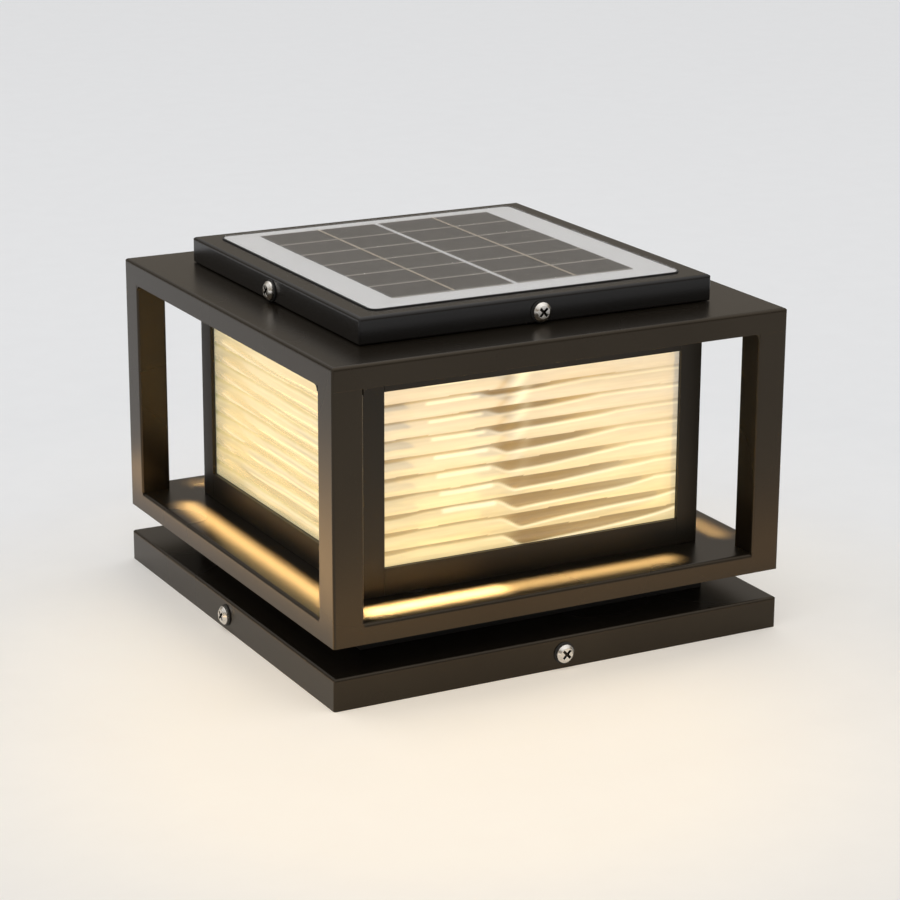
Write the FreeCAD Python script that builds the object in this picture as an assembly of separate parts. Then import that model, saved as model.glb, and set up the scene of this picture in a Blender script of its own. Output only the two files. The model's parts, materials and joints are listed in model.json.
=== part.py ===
import FreeCAD, Part
import math
import os

# Solar cap light for a deck or fence post.
#
# An open square cage of sheet pans and square tube stands on a hipped base tray.
# Inside the cage is a lantern glazed with ribbed glass, and a sheet lid with a
# solar panel closes the battery bay on top. The base tray drops over a folded
# bracket that is screwed to the post.
#
# Millimetres. The origin is the middle of the base, level with its lower edge,
# and +Z is up. The front is the -Y side, the back +Y, the right +X, the left -X.

Vector = FreeCAD.Vector

# ------------------------------------------------------------------ driving sizes
# Widths of the square outer forms
base_width = 250.0
cage_width = 250.0
lantern_width = 190.0
neck_overhang = 2.5          # neck's walls outside the lantern's corners
lid_overhang = 2.5           # lid's sides outside the lantern's corners

# Heights, from the post upwards
base_skirt_height = 16.5
shadow_gap = 14.9            # open gap between base tray and cage
sill_height = 10.3           # skirt of the cage's lower pan
head_height = 11.6           # skirt of the cage's upper pan
lid_height = 13.4
hip_rise = 0.6               # fall of the base and cage tops towards their edges

# Sheet metal
sheet = 1.5                  # base tray, neck, cage pans, lid
eave_radius = 2.0            # rounded edge between a top and its skirt
corner_radius = 1.2          # upright corners of pans and posts
hem_radius = 1.0             # lower edge of the lid
window_radius = 3.0          # upper corners of the cage's windows

# Cage posts
post_width = 16.0
post_wall = 1.5
plug_length = 10.0           # how far a corner plug reaches into its post
plug_clearance = 0.15
post_screw_end_gap = 2.0     # plug left above the end of the post's screw

# Lantern frame: corner extrusions and rails with a glazing groove
stile_width = 12.0
sill_rail_height = 13.8
pane_view_height = 88.1      # glass seen between the two rails
head_rail_view = 12.4        # head rail seen below the cage's upper pan
face_thickness = 1.5         # outer wall of the groove
lip_thickness = 1.2          # inner wall of the groove
rail_wall = 1.5

# Ribbed glass
glass_thickness = 4.4        # over the crests of the ribs
rib_pitch = 9.2
rib_depth = 1.2
gasket_thickness = 0.7

# Mounting bracket
bracket_sheet = 2.0
bracket_fold_radius = 1.8
bracket_plate_width = 180.0
bracket_corner_cut = 25.0
ear_width = 40.0
ear_height = 13.0
ear_corner_cut = 4.0
ear_clearance = 0.5          # between an ear and the base skirt
post_slot_spacing = 100.0
post_slot_length = 16.0
post_slot_width = 6.5
cable_hole_diameter = 40.0

# Side screws with rubber washers and nuts, four in the base and four in the lid
screw_diameter = 5.0
screw_head_diameter = 9.5
screw_head_height = 2.6
screw_edge_height = 1.2      # upright edge of the head, below its slope
screw_crown_diameter = 6.4   # flat top of the head
screw_drive_width = 1.3
screw_drive_length = 5.6
screw_drive_depth = 1.5
screw_drive_angle = 45.0
screw_projection = 1.0       # screw's end beyond its nut
washer_diameter = 11.0
washer_thickness = 0.6
washer_bore_clearance = 0.1
screw_hole_clearance = 0.25
nut_width = 8.0
nut_height = 4.0
nut_bore_clearance = 0.05
nut_gap = 0.3                # between a nut and its ear, before tightening
base_screw_height = 8.0      # above the base's lower edge
lid_washer_gap = 0.3         # between the lid's washers and the cage top

# Small screws that hold frame and trays together from inside
small_screw_diameter = 4.0
small_head_width = 7.0       # across the flats
small_head_height = 2.2
small_screw_bore_clearance = 0.1
small_screw_bite = 9.0       # length in the lantern's corner extrusions
flange_width = 14.0          # inward flanges of the neck
flange_hole_shift = 1.0      # holes stand outside the flange's middle
neck_nut_width = 7.0
neck_nut_height = 3.2

# Solar lid
panel_side_margin = 12.0     # lid left open beside the panel
panel_end_margin = 10.5      # and in front of it and behind it
panel_corner_radius = 4.0
panel_board_thickness = 1.6
panel_cover_thickness = 1.0
panel_stand = 1.6            # how far the panel stands above the lid
panel_bead_width = 1.0       # black sealant round the panel
panel_bead_stand = 0.5       # its height above the lid
cell_columns = 2
cell_rows = 6
cell_side_border = 18.25     # white board left open beside the cells
cell_front_border = 14.5
cell_back_border = 8.5
cell_column_gap = 1.4
cell_row_gap = 0.8
cell_thickness = 0.3
ribbon_width = 1.3
ribbon_thickness = 0.15
junction_length = 46.0
junction_width = 28.0
junction_height = 8.0
junction_corner_cut = 3.0
junction_wall_gap = 6.5      # between the box and the bay's back wall
junction_slot_length = 24.0
junction_slot_width = 8.0
lid_seat_gap = 0.2
lid_bracket_width = 36.0
lid_bracket_height = 9.5
lid_bracket_foot = 11.0
lid_bracket_corner_cut = 3.0
lid_bracket_nut_gap = 1.0    # round the corners of the nut
lid_bracket_clearance = 0.5

# Battery bay, sunk through the cage top
bay_end_room = 7.2           # between the bay's opening and the ceiling pan's walls
bay_width = 106.0            # opening in the cage top, along Y
bay_corner_cut = 4.0
bay_clearance = 0.5
bay_wall = 2.0
bay_flange = 6.0
bay_rim_height = 5.3
ceiling_sheet = 1.0
ceiling_drop = 0.6           # white ceiling below the lantern's head rail edge
ceiling_clearance = 0.3
bay_ceiling_gap = 1.0
cell_diameter = 18.4         # lithium cells
cell_length = 65.0
cell_nub_diameter = 6.0
cell_nub_height = 1.0
battery_count = 3
battery_pitch = 19.4
holder_floor = 1.2
holder_side = 2.0
holder_end = 1.8
holder_end_rise = 5.5        # of the holder's ends, above the cells' axes
holder_clearance = 0.1
holder_bay_gap = 5.2         # between the holder and the bay's left wall
contact_gap = 2.0
contact_width = 10.0
contact_thickness = 0.4
board_width = 76.0           # along Y
board_thickness = 1.6
board_stand = 4.0
board_bay_gap = 5.5          # between the board and the bay's right wall
board_holder_gap = 15.7
board_boss_diameter = 5.0
board_boss_inset = 4.0       # from the board's edges to the bosses' axes
coil_diameter = 11.0
coil_height = 4.5
capacitor_diameter = 8.0
capacitor_height = 9.0
controller_width = 10.0
controller_height = 1.5
socket_width = 10.0
socket_depth = 7.0
socket_height = 5.5
socket_pitch = 14.0
socket_count = 3
socket_edge_gap = 4.0

# Lamp in the middle of the lantern
lamp_diameter = 33.0
lamp_wall = 1.6
lamp_top_chamfer = 1.4
lamp_height = 66.0
lamp_base_diameter = 48.0
lamp_base_height = 7.0
lamp_base_flange = 2.5
lamp_cup_wall = 2.0
lamp_fit = 0.15
core_width = 15.0
core_groove_depth = 1.4
core_bore_diameter = 5.2
core_top_gap = 3.0           # between the core and the tube's top
strip_width = 12.0
strip_thickness = 1.0
strip_end_gap = 1.0
chip_size = 3.0
chip_thickness = 0.7
chips_per_strip = 5
chip_pitch = 9.5

# Push switch in the back of the neck
switch_body_width = 20.0
switch_body_height = 11.0
switch_body_depth = 16.0
switch_bush_diameter = 10.0
switch_nut_width = 13.0
switch_nut_height = 2.0
switch_seal_thickness = 0.8
switch_button_diameter = 7.0
switch_button_chamfer = 0.8
switch_button_stand = 4.5    # button proud of its nut
switch_bore_depth = 8.0      # behind the neck's wall
switch_travel = 2.0
switch_end_gap = 0.5         # behind the button, pressed home
switch_fit = 0.08

shank_sides = 8              # flats round a screw's hidden shank
screw_head_sides = 20        # round the side screws' heads and their washers
lamp_sides = 24              # round the lamp's tube and foot
cell_sides = 16              # round the lithium cells
switch_sides = 20            # round the switch's bush and button
cut_over = 1.0               # how far a cutter runs past what it cuts

# ------------------------------------------------------------------ worked-out places
base_half = base_width / 2
cage_half = cage_width / 2
lantern_half = lantern_width / 2
neck_half = lantern_half + neck_overhang
lid_half = lantern_half + lid_overhang

base_deck_z = base_skirt_height + hip_rise
base_deck_under_z = base_deck_z - sheet
sill_bottom_z = base_skirt_height + shadow_gap
sill_top_z = sill_bottom_z + sill_height
window_height = sill_rail_height + pane_view_height + head_rail_view
sill_under_z = sill_top_z - sheet
head_bottom_z = sill_top_z + window_height
head_eave_z = head_bottom_z + head_height
head_deck_z = head_eave_z + hip_rise
head_under_z = head_deck_z - sheet
lid_bottom_z = head_deck_z + lid_seat_gap
lid_top_z = lid_bottom_z + lid_height
lid_under_z = lid_top_z - sheet

groove_width = glass_thickness + 2 * gasket_thickness
frame_depth = face_thickness + groove_width + lip_thickness
groove_depth = stile_width - frame_depth
lantern_inner_half = lantern_half - frame_depth
pane_view_half = lantern_half - stile_width
pane_view_bottom_z = sill_top_z + sill_rail_height
pane_view_top_z = pane_view_bottom_z + pane_view_height

panel_width = 2 * (lid_half - panel_side_margin)
panel_length = 2 * (lid_half - panel_end_margin)
cell_field_width = panel_width - 2 * cell_side_border
cell_field_front = -panel_length / 2 + cell_front_border
cell_field_back = panel_length / 2 - cell_back_border
panel_recess_depth = panel_board_thickness + panel_cover_thickness - panel_stand
panel_seat_z = lid_top_z - panel_recess_depth
panel_board_top_z = panel_seat_z + panel_board_thickness
panel_top_z = panel_board_top_z + panel_cover_thickness
dish_under_z = panel_seat_z - sheet

ceiling_z = pane_view_top_z + ceiling_drop
ceiling_half = lantern_inner_half - ceiling_clearance
bay_bottom_z = ceiling_z + ceiling_sheet + bay_ceiling_gap
bay_floor_z = bay_bottom_z + bay_wall
bay_rim_top_z = head_deck_z + bay_wall + bay_rim_height
bay_length = 2 * (ceiling_half - ceiling_sheet - bay_end_room)
bay_inner_half_x = bay_length / 2 - bay_clearance - bay_wall
bay_inner_half_y = bay_width / 2 - bay_clearance - bay_wall

holder_half_x = cell_length / 2 + contact_gap + holder_end
holder_centre_x = -bay_inner_half_x + holder_bay_gap + holder_half_x
board_left_x = holder_centre_x + holder_half_x + board_holder_gap
board_right_x = bay_inner_half_x - board_bay_gap
board_length = board_right_x - board_left_x
board_centre_x = (board_left_x + board_right_x) / 2
junction_centre_y = bay_inner_half_y - junction_wall_gap - junction_width / 2

lamp_seat_z = sill_top_z
lamp_tube_bottom_z = lamp_seat_z + lamp_base_flange
lamp_top_z = lamp_seat_z + lamp_height

switch_z = sill_bottom_z - shadow_gap / 2 + hip_rise / 2

screw_radius = screw_diameter / 2
screw_hole_radius = screw_radius + screw_hole_clearance
small_screw_radius = small_screw_diameter / 2
small_hole_radius = small_screw_radius + screw_hole_clearance
small_bore_radius = small_screw_radius + small_screw_bore_clearance / 2
nut_hole_radius = screw_radius + nut_bore_clearance
base_screw_z = base_screw_height
lid_screw_z = head_deck_z + washer_diameter / 2 + lid_washer_gap
ear_outer = base_half - sheet - ear_clearance
lid_bracket_outer = lid_half - sheet - lid_bracket_clearance

# Sides in the order front, right, back, left: a quarter turn apart
side_names = ("front", "right", "back", "left")
corner_names = ("front_left", "front_right", "back_right", "back_left")


# ------------------------------------------------------------------ geometry helpers
def block(x0, y0, z0, x1, y1, z1):
    """A box between two opposite corners."""
    return Part.makeBox(x1 - x0, y1 - y0, z1 - z0, Vector(x0, y0, z0))


def square_block(half, z0, z1):
    """A square box about the Z axis."""
    return block(-half, -half, z0, half, half, z1)


def rod(radius, start, length, direction):
    """A round bar."""
    return Part.makeCylinder(radius, length, Vector(*start), Vector(*direction))


def drill(radius, start, length, direction):
    """Cutter for a round hole. It runs past both ends."""
    axis = Vector(*direction)
    return Part.makeCylinder(radius, length + 2 * cut_over, Vector(*start) - axis * cut_over, axis)


def many_sided(sides, width, start, direction):
    """Outline with an even number of sides, two of them level, given across its flats."""
    axis = Vector(*direction)
    side = Vector(0, 0, 1).cross(axis)
    if side.Length < 0.5:
        side = Vector(1, 0, 0)
    up = axis.cross(side)
    step = 2 * math.pi / sides
    first = math.pi / 2 - step / 2
    reach = width / 2 / math.cos(step / 2)
    corners = []
    for index in range(sides):
        angle = first + index * step
        corners.append(Vector(*start) + side * (reach * math.cos(angle)) + up * (reach * math.sin(angle)))
    return Part.makePolygon(corners + corners[:1])


def prism(sides, width, start, length, direction):
    """A bar with such an outline."""
    outline = many_sided(sides, width, start, direction)
    return Part.Face(outline).extrude(Vector(*direction) * length)


def shank(radius, start, length, direction):
    """A screw's hidden shank, its flats at the radius."""
    return prism(shank_sides, 2 * radius, start, length, direction)


def bore(radius, start, length, direction, sides=shank_sides):
    """Cutter for the hole round such a bar. It runs past both ends."""
    begin = Vector(*start) - Vector(*direction) * cut_over
    return prism(sides, 2 * radius, tuple(begin), length + 2 * cut_over, direction)


def turned(shape, quarter_turns):
    """The shape turned about the Z axis, in quarter turns."""
    copy = shape.copy()
    copy.rotate(Vector(0, 0, 0), Vector(0, 0, 1), 90 * quarter_turns)
    return copy


def moved(shape, x, y, z):
    """The shape moved without turning."""
    copy = shape.copy()
    copy.translate(Vector(x, y, z))
    return copy


def polygon(points):
    """A closed straight-sided outline."""
    corners = [Vector(*point) for point in points]
    return Part.makePolygon(corners + corners[:1])


def extruded(wires, direction):
    """A prism on an outline, with any further outlines as holes."""
    face = Part.Face(wires)
    face.validate()
    return face.extrude(Vector(*direction))


def rounded_rectangle(half_x, half_y, radius, z):
    """A rectangle about the Z axis with rounded corners."""
    edges = []
    diagonal = radius * (1 - math.sqrt(0.5))
    for turn in range(4):
        reach = half_x if turn % 2 == 0 else half_y
        side = half_y if turn % 2 == 0 else half_x
        angle = math.radians(90 * turn)
        out = Vector(math.cos(angle), math.sin(angle), 0)
        along = Vector(-math.sin(angle), math.cos(angle), 0)
        level = Vector(0, 0, z)
        side_start = level + out * reach - along * (side - radius)
        side_end = level + out * reach + along * (side - radius)
        middle = level + out * (reach - diagonal) + along * (side - diagonal)
        next_start = level + out * (reach - radius) + along * side
        edges.append(Part.LineSegment(side_start, side_end).toShape())
        edges.append(Part.Arc(side_end, middle, next_start).toShape())
    return Part.Wire(edges)


def rounded_block(half_x, half_y, radius, z0, z1):
    """A rectangular block about the Z axis with rounded upright corners."""
    return extruded([rounded_rectangle(half_x, half_y, radius, z0)], (0, 0, z1 - z0))


def cut_corner_block(half_x, half_y, cut, z0, z1):
    """A rectangular block about the Z axis with its upright corners cut off."""
    outline = polygon([(-half_x + cut, -half_y, z0), (half_x - cut, -half_y, z0), (half_x, -half_y + cut, z0),
                       (half_x, half_y - cut, z0), (half_x - cut, half_y, z0), (-half_x + cut, half_y, z0),
                       (-half_x, half_y - cut, z0), (-half_x, -half_y + cut, z0)])
    return extruded([outline], (0, 0, z1 - z0))


def hip_profile(half, z0, eave_z, rise, deck_half, eave_r, foot_r):
    """Cross-section of a pan in the XZ plane: upright sides, eaves rounded by eave_r
    and a top that rises from them to a flat deck. The lower edges are rounded by
    foot_r. An edge whose radius is zero stays sharp."""
    slope = math.atan2(rise, half - deck_half)
    centre_z = eave_z + eave_r * math.tan(slope) - eave_r / math.cos(slope)
    right = []
    if foot_r > 0:
        right.append(Vector(half - foot_r, 0, z0))
        right.append(Vector(half - foot_r * (1 - math.sqrt(0.5)), 0, z0 + foot_r * (1 - math.sqrt(0.5))))
        right.append(Vector(half, 0, z0 + foot_r))
    eave_centre = Vector(half - eave_r, 0, centre_z)
    eave_start = Vector(half, 0, centre_z)
    halfway = math.pi / 4 + slope / 2
    eave_middle = eave_centre + Vector(math.cos(halfway), 0, math.sin(halfway)) * eave_r
    eave_end = eave_centre + Vector(math.sin(slope), 0, math.cos(slope)) * eave_r
    deck = Vector(deck_half, 0, eave_z + rise)

    def mirror(point):
        return Vector(-point.x, 0, point.z)

    edges = []
    if foot_r > 0:
        edges.append(Part.LineSegment(mirror(right[0]), right[0]).toShape())
        edges.append(Part.Arc(right[0], right[1], right[2]).toShape())
        lower = right[2]
    else:
        lower = Vector(half, 0, z0)
        edges.append(Part.LineSegment(mirror(lower), lower).toShape())
    edges.append(Part.LineSegment(lower, eave_start).toShape())
    if eave_r > 0:
        edges.append(Part.Arc(eave_start, eave_middle, eave_end).toShape())
    if rise > 0:
        edges.append(Part.LineSegment(eave_end, deck).toShape())
        edges.append(Part.LineSegment(deck, mirror(deck)).toShape())
        edges.append(Part.LineSegment(mirror(deck), mirror(eave_end)).toShape())
    else:
        edges.append(Part.LineSegment(eave_end, mirror(eave_end)).toShape())
    if eave_r > 0:
        edges.append(Part.Arc(mirror(eave_end), mirror(eave_middle), mirror(eave_start)).toShape())
    edges.append(Part.LineSegment(mirror(eave_start), mirror(lower)).toShape())
    if foot_r > 0:
        edges.append(Part.Arc(mirror(right[2]), mirror(right[1]), mirror(right[0])).toShape())
    return Part.Wire(edges)


def hipped_form(half, z0, eave_z, rise, deck_half, eave_r=0.0, foot_r=0.0):
    """Solid with the same pan profile along X and along Y, mitred at the corners."""
    section = Part.Face(hip_profile(half, z0, eave_z, rise, deck_half, eave_r, foot_r))
    along_y = moved(section, 0, -half, 0).extrude(Vector(0, 2 * half, 0))
    along_x = turned(along_y, 1)
    return along_y.common(along_x)


def with_round_corners(shape, half, radius, z0, z1):
    """The shape with its upright corners rounded."""
    return shape.common(rounded_block(half, half, radius, z0 - cut_over, z1 + cut_over))


def save(name, shape):
    """Write one named sub-part and report its solids and volume."""
    whole = shape.removeSplitter() if len(shape.Solids) == 1 else shape
    whole.exportStep("parts/" + name + ".step")
    state = "ok" if whole.isValid() else "INVALID"
    print(name, len(whole.Solids), round(whole.Volume, 1), state)


def group(shapes):
    """Identical pieces kept as separate solids in one sub-part."""
    return Part.makeCompound(shapes)


# ------------------------------------------------------------------ side screws
def side_screw(wall_outer, z, reach):
    """Pan-head cross-recess screw through the front wall, head outside. reach is
    the distance from the wall's outer face to the screw's inner end."""
    seat = washer_thickness
    edge = seat + screw_edge_height
    top = seat + screw_head_height
    screw = prism(screw_head_sides, screw_head_diameter, (0, 0, seat), screw_edge_height, (0, 0, 1))
    rim = many_sided(screw_head_sides, screw_head_diameter, (0, 0, edge), (0, 0, 1))
    crown = many_sided(screw_head_sides, screw_crown_diameter, (0, 0, top), (0, 0, 1))
    screw = screw.fuse(Part.makeLoft([rim, crown], True, True))
    screw = screw.fuse(shank(screw_radius, (0, 0, -reach), reach + seat, (0, 0, 1)))
    floor = top - screw_drive_depth
    long_half = screw_drive_length / 2
    thin_half = screw_drive_width / 2
    recess = block(-long_half, -thin_half, floor, long_half, thin_half, top + cut_over)
    recess = recess.fuse(turned(recess, 1))
    recess.rotate(Vector(0, 0, 0), Vector(0, 0, 1), screw_drive_angle)
    screw = screw.cut(recess)
    screw.rotate(Vector(0, 0, 0), Vector(1, 0, 0), 90)
    screw.translate(Vector(0, -wall_outer, z))
    return screw


def side_washer(wall_outer, z):
    """Rubber washer between the wall and the screw's head."""
    place = (0, -wall_outer - washer_thickness, z)
    ring = prism(screw_head_sides, washer_diameter, place, washer_thickness, (0, 1, 0))
    return ring.cut(bore(screw_radius + washer_bore_clearance, place, washer_thickness, (0, 1, 0)))


def side_nut(ear_inner, z):
    """Hexagon nut behind an ear, with two flats level."""
    place = (0, -ear_inner + nut_gap, z)
    nut = prism(6, nut_width, place, nut_height, (0, 1, 0))
    return nut.cut(bore(nut_hole_radius, place, nut_height, (0, 1, 0)))


def four_sides(shape):
    """The front side's piece, repeated on all four sides."""
    return [turned(shape, turn) for turn in range(4)]


def screw_set(prefix, wall_outer, ear_inner, z):
    """Screws, washers and nuts of one set of four."""
    reach = wall_outer - ear_inner + nut_gap + nut_height + screw_projection
    save(prefix + "_screws", group(four_sides(side_screw(wall_outer, z, reach))))
    save(prefix + "_screw_washers", group(four_sides(side_washer(wall_outer, z))))
    save(prefix + "_screw_nuts", group(four_sides(side_nut(ear_inner, z))))


def cut_side_holes(shape, half, z):
    """Clearance holes for the four side screws through a skirt."""
    for cutter in four_sides(bore(screw_hole_radius, (0, -half, z), sheet, (0, 1, 0))):
        shape = shape.cut(cutter)
    return shape


def open_notch(outer, thickness, z, top):
    """Cutter for a notch that is open at the top, so a screw can lift out."""
    radius = screw_hole_radius
    slot = block(-radius, -outer - cut_over, z, radius, -outer + thickness + cut_over, top + cut_over)
    return slot.fuse(bore(radius, (0, -outer, z), thickness, (0, 1, 0)))


# ------------------------------------------------------------------ small screws
def small_screw(x, y, z, length, up):
    """Hexagon-head screw with its head's seat at z. It points up or down."""
    head_z = z - small_head_height if up else z
    shank_z = z if up else z - length
    head = prism(6, small_head_width, (x, y, head_z), small_head_height, (0, 0, 1))
    return head.fuse(shank(small_screw_radius, (x, y, shank_z), length, (0, 0, 1)))


def corner_places(reach):
    """The four corners of a square, in the order of corner_names."""
    return [(-reach, -reach), (reach, -reach), (reach, reach), (-reach, reach)]


def cut_corner_holes(shape, reach, radius, z0, z1):
    """Screw holes at the corners of a square."""
    for x, y in corner_places(reach):
        shape = shape.cut(bore(radius, (x, y, z0), z1 - z0, (0, 0, 1)))
    return shape


# ------------------------------------------------------------------ mounting bracket
def mounting_bracket():
    """Folded steel plate with four upturned ears. Its underside lies on the post."""
    half = bracket_plate_width / 2
    cut = bracket_corner_cut
    plate = cut_corner_block(half, half, cut, 0, bracket_sheet)
    tongue = block(-ear_width / 2, -ear_outer, 0, ear_width / 2, -half + cut, bracket_sheet)
    ear = block(-ear_width / 2, -ear_outer, 0, ear_width / 2, -ear_outer + bracket_sheet, ear_height)
    top_corners = [edge for edge in ear.Edges if abs(abs(edge.CenterOfMass.x) - ear_width / 2) < 0.01
                   and abs(edge.CenterOfMass.z - ear_height) < 0.01]
    ear = ear.makeChamfer(ear_corner_cut, top_corners)
    fold = tongue.fuse(ear).removeSplitter()
    outer_fold = [edge for edge in fold.Edges if abs(edge.CenterOfMass.y + ear_outer) < 0.01
                  and abs(edge.CenterOfMass.z) < 0.01 and abs(edge.CenterOfMass.x) < 0.01]
    fold = fold.makeFillet(bracket_fold_radius, outer_fold)
    fold = fold.cut(open_notch(ear_outer, bracket_sheet, base_screw_z, ear_height))
    for piece in four_sides(fold):
        plate = plate.fuse(piece)
    plate = plate.cut(drill(cable_hole_diameter / 2, (0, 0, 0), bracket_sheet, (0, 0, 1)))
    straight = (post_slot_length - post_slot_width) / 2
    for x, y in corner_places(post_slot_spacing / 2):
        slot = block(x - straight, y - post_slot_width / 2, -cut_over, x + straight, y + post_slot_width / 2,
                     bracket_sheet + cut_over)
        for end in (-straight, straight):
            slot = slot.fuse(drill(post_slot_width / 2, (x + end, y, 0), bracket_sheet, (0, 0, 1)))
        plate = plate.cut(slot)
    return plate


# ------------------------------------------------------------------ base tray and neck
def neck_screw_reach():
    """Distance of the neck's flange screws from the centre planes."""
    return neck_half - sheet - flange_width / 2 + flange_hole_shift


def base_tray():
    """Sheet pan with a hipped top and a skirt that hides the bracket."""
    outer = hipped_form(base_half, 0, base_skirt_height, hip_rise, neck_half, eave_radius)
    outer = with_round_corners(outer, base_half, corner_radius, 0, base_deck_z)
    inner = hipped_form(base_half - sheet, -cut_over, base_skirt_height - sheet, hip_rise, neck_half)
    tray = cut_side_holes(outer.cut(inner), base_half, base_screw_z)
    return cut_corner_holes(tray, neck_screw_reach(), small_hole_radius, base_deck_under_z, base_deck_z)


def neck_riser():
    """Square riser with an inward flange at each end and the switch's hole."""
    riser = square_block(neck_half, base_deck_z, sill_under_z)
    riser = riser.cut(square_block(neck_half - sheet, base_deck_z + sheet, sill_under_z - sheet))
    riser = riser.cut(square_block(neck_half - sheet - flange_width, 0, sill_top_z))
    riser = cut_corner_holes(riser, neck_screw_reach(), small_hole_radius, base_deck_z, base_deck_z + sheet)
    riser = cut_corner_holes(riser, lantern_screw_reach(), small_hole_radius, sill_under_z - sheet, sill_under_z)
    hole = bore(switch_bush_diameter / 2 + switch_fit, (0, neck_half - sheet, switch_z), sheet, (0, 1, 0),
                switch_sides)
    return riser.cut(hole)


def neck_nuts():
    """Nuts on the neck's lower flange."""
    nuts = []
    for x, y in corner_places(neck_screw_reach()):
        z = base_deck_z + sheet
        nut = prism(6, neck_nut_width, (x, y, z), neck_nut_height, (0, 0, 1))
        nuts.append(nut.cut(bore(small_screw_radius + nut_bore_clearance, (x, y, z), neck_nut_height, (0, 0, 1))))
    return group(nuts)


# ------------------------------------------------------------------ open cage
def post_reach():
    """Distance of a cage post's axis from the centre planes."""
    return cage_half - post_width / 2


def cage_sill():
    """Lower pan of the cage. Its top edges are rounded between the posts only."""
    pan = square_block(cage_half, sill_bottom_z, sill_top_z)
    pan = with_round_corners(pan, cage_half, corner_radius, sill_bottom_z, sill_top_z)
    pan = pan.cut(square_block(cage_half - sheet, sill_bottom_z - cut_over, sill_under_z))
    span = cage_half - post_width
    edge = block(-span, -cage_half, sill_top_z - eave_radius, span, -cage_half + eave_radius, sill_top_z)
    waste = edge.cut(rod(eave_radius, (-span, -cage_half + eave_radius, sill_top_z - eave_radius), 2 * span,
                         (1, 0, 0)))
    for turn in range(4):
        pan = pan.cut(turned(waste, turn))
    pan = cut_corner_holes(pan, post_reach(), small_hole_radius, sill_under_z, sill_top_z)
    return cut_corner_holes(pan, lantern_screw_reach(), small_hole_radius, sill_under_z, sill_top_z)


def cage_head():
    """Upper pan of the cage, hipped, with rounded window corners and the bay's opening."""
    outer = hipped_form(cage_half, head_bottom_z, head_eave_z, hip_rise, lid_half, eave_radius)
    outer = with_round_corners(outer, cage_half, corner_radius, head_bottom_z, head_deck_z)
    inner = hipped_form(cage_half - sheet, head_bottom_z - cut_over, head_eave_z - sheet, hip_rise, lid_half)
    pan = outer.cut(inner)
    span = cage_half - post_width
    radius = window_radius
    for turn in range(4):
        for end in (-1, 1):
            near = end * (span - radius)
            web = block(min(near, end * span), -cage_half, head_bottom_z - radius, max(near, end * span),
                        -cage_half + sheet, head_bottom_z)
            web = web.cut(drill(radius, (near, -cage_half, head_bottom_z - radius), sheet, (0, 1, 0)))
            pan = pan.fuse(turned(web, turn))
    pan = pan.cut(cut_corner_block(bay_length / 2, bay_width / 2, bay_corner_cut, head_under_z - cut_over,
                                   head_deck_z + cut_over))
    return cut_corner_holes(pan, lantern_screw_reach(), small_hole_radius, head_under_z, head_deck_z)


def cage_post(x, y):
    """Square tube with rounded edges, standing on the lower pan's corner."""
    height = head_bottom_z - sill_top_z
    outer = rounded_rectangle(post_width / 2, post_width / 2, corner_radius, 0)
    room = post_width / 2 - post_wall
    inner = polygon([(-room, -room, 0), (room, -room, 0), (room, room, 0), (-room, room, 0)])
    return moved(extruded([outer, inner], (0, 0, height)), x, y, sill_top_z)


def post_top_plug(x, y):
    """Corner block inside the upper pan, with a spigot down into the post."""
    spigot = post_width / 2 - post_wall - plug_clearance
    plug = block(-spigot, -spigot, head_bottom_z - plug_length, spigot, spigot, head_bottom_z)
    outward = post_width / 2 - sheet - plug_clearance
    head = block(-outward, -outward, head_bottom_z, post_width / 2, post_width / 2, head_eave_z - sheet)
    plug = plug.fuse(head)
    turns = corner_places(1).index((int(math.copysign(1, x)), int(math.copysign(1, y))))
    return moved(turned(plug, turns), x, y, 0)


def post_foot_plug(x, y):
    """Block in the foot of a post, bored for the screw from below."""
    spigot = post_width / 2 - post_wall - plug_clearance
    plug = block(x - spigot, y - spigot, sill_top_z, x + spigot, y + spigot, sill_top_z + plug_length)
    screw_end = plug_length - post_screw_end_gap
    return plug.cut(bore(small_bore_radius, (x, y, sill_top_z), screw_end, (0, 0, 1)))


# ------------------------------------------------------------------ lantern frame
def lantern_screw_reach():
    """Distance of the corner extrusions' screw bores from the centre planes."""
    return lantern_half - frame_depth / 2


def lantern_corner(turn):
    """Corner extrusion: a bored core with a glazing groove to each side."""
    face = face_thickness
    lip = face + groove_width
    core = frame_depth
    tip = stile_width
    outline = [(0, 0), (tip, 0), (tip, face), (core, face), (core, lip), (tip, lip), (tip, core), (core, core),
               (core, tip), (lip, tip), (lip, core), (face, core), (face, tip), (0, tip)]
    section = polygon([(a - lantern_half, b - lantern_half, sill_top_z) for a, b in outline])
    profile = extruded([section], (0, 0, head_under_z - sill_top_z))
    reach = lantern_screw_reach()
    thread = bore(small_bore_radius, (-reach, -reach, sill_top_z), head_under_z - sill_top_z, (0, 0, 1))
    return turned(profile.cut(thread), turn)


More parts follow.
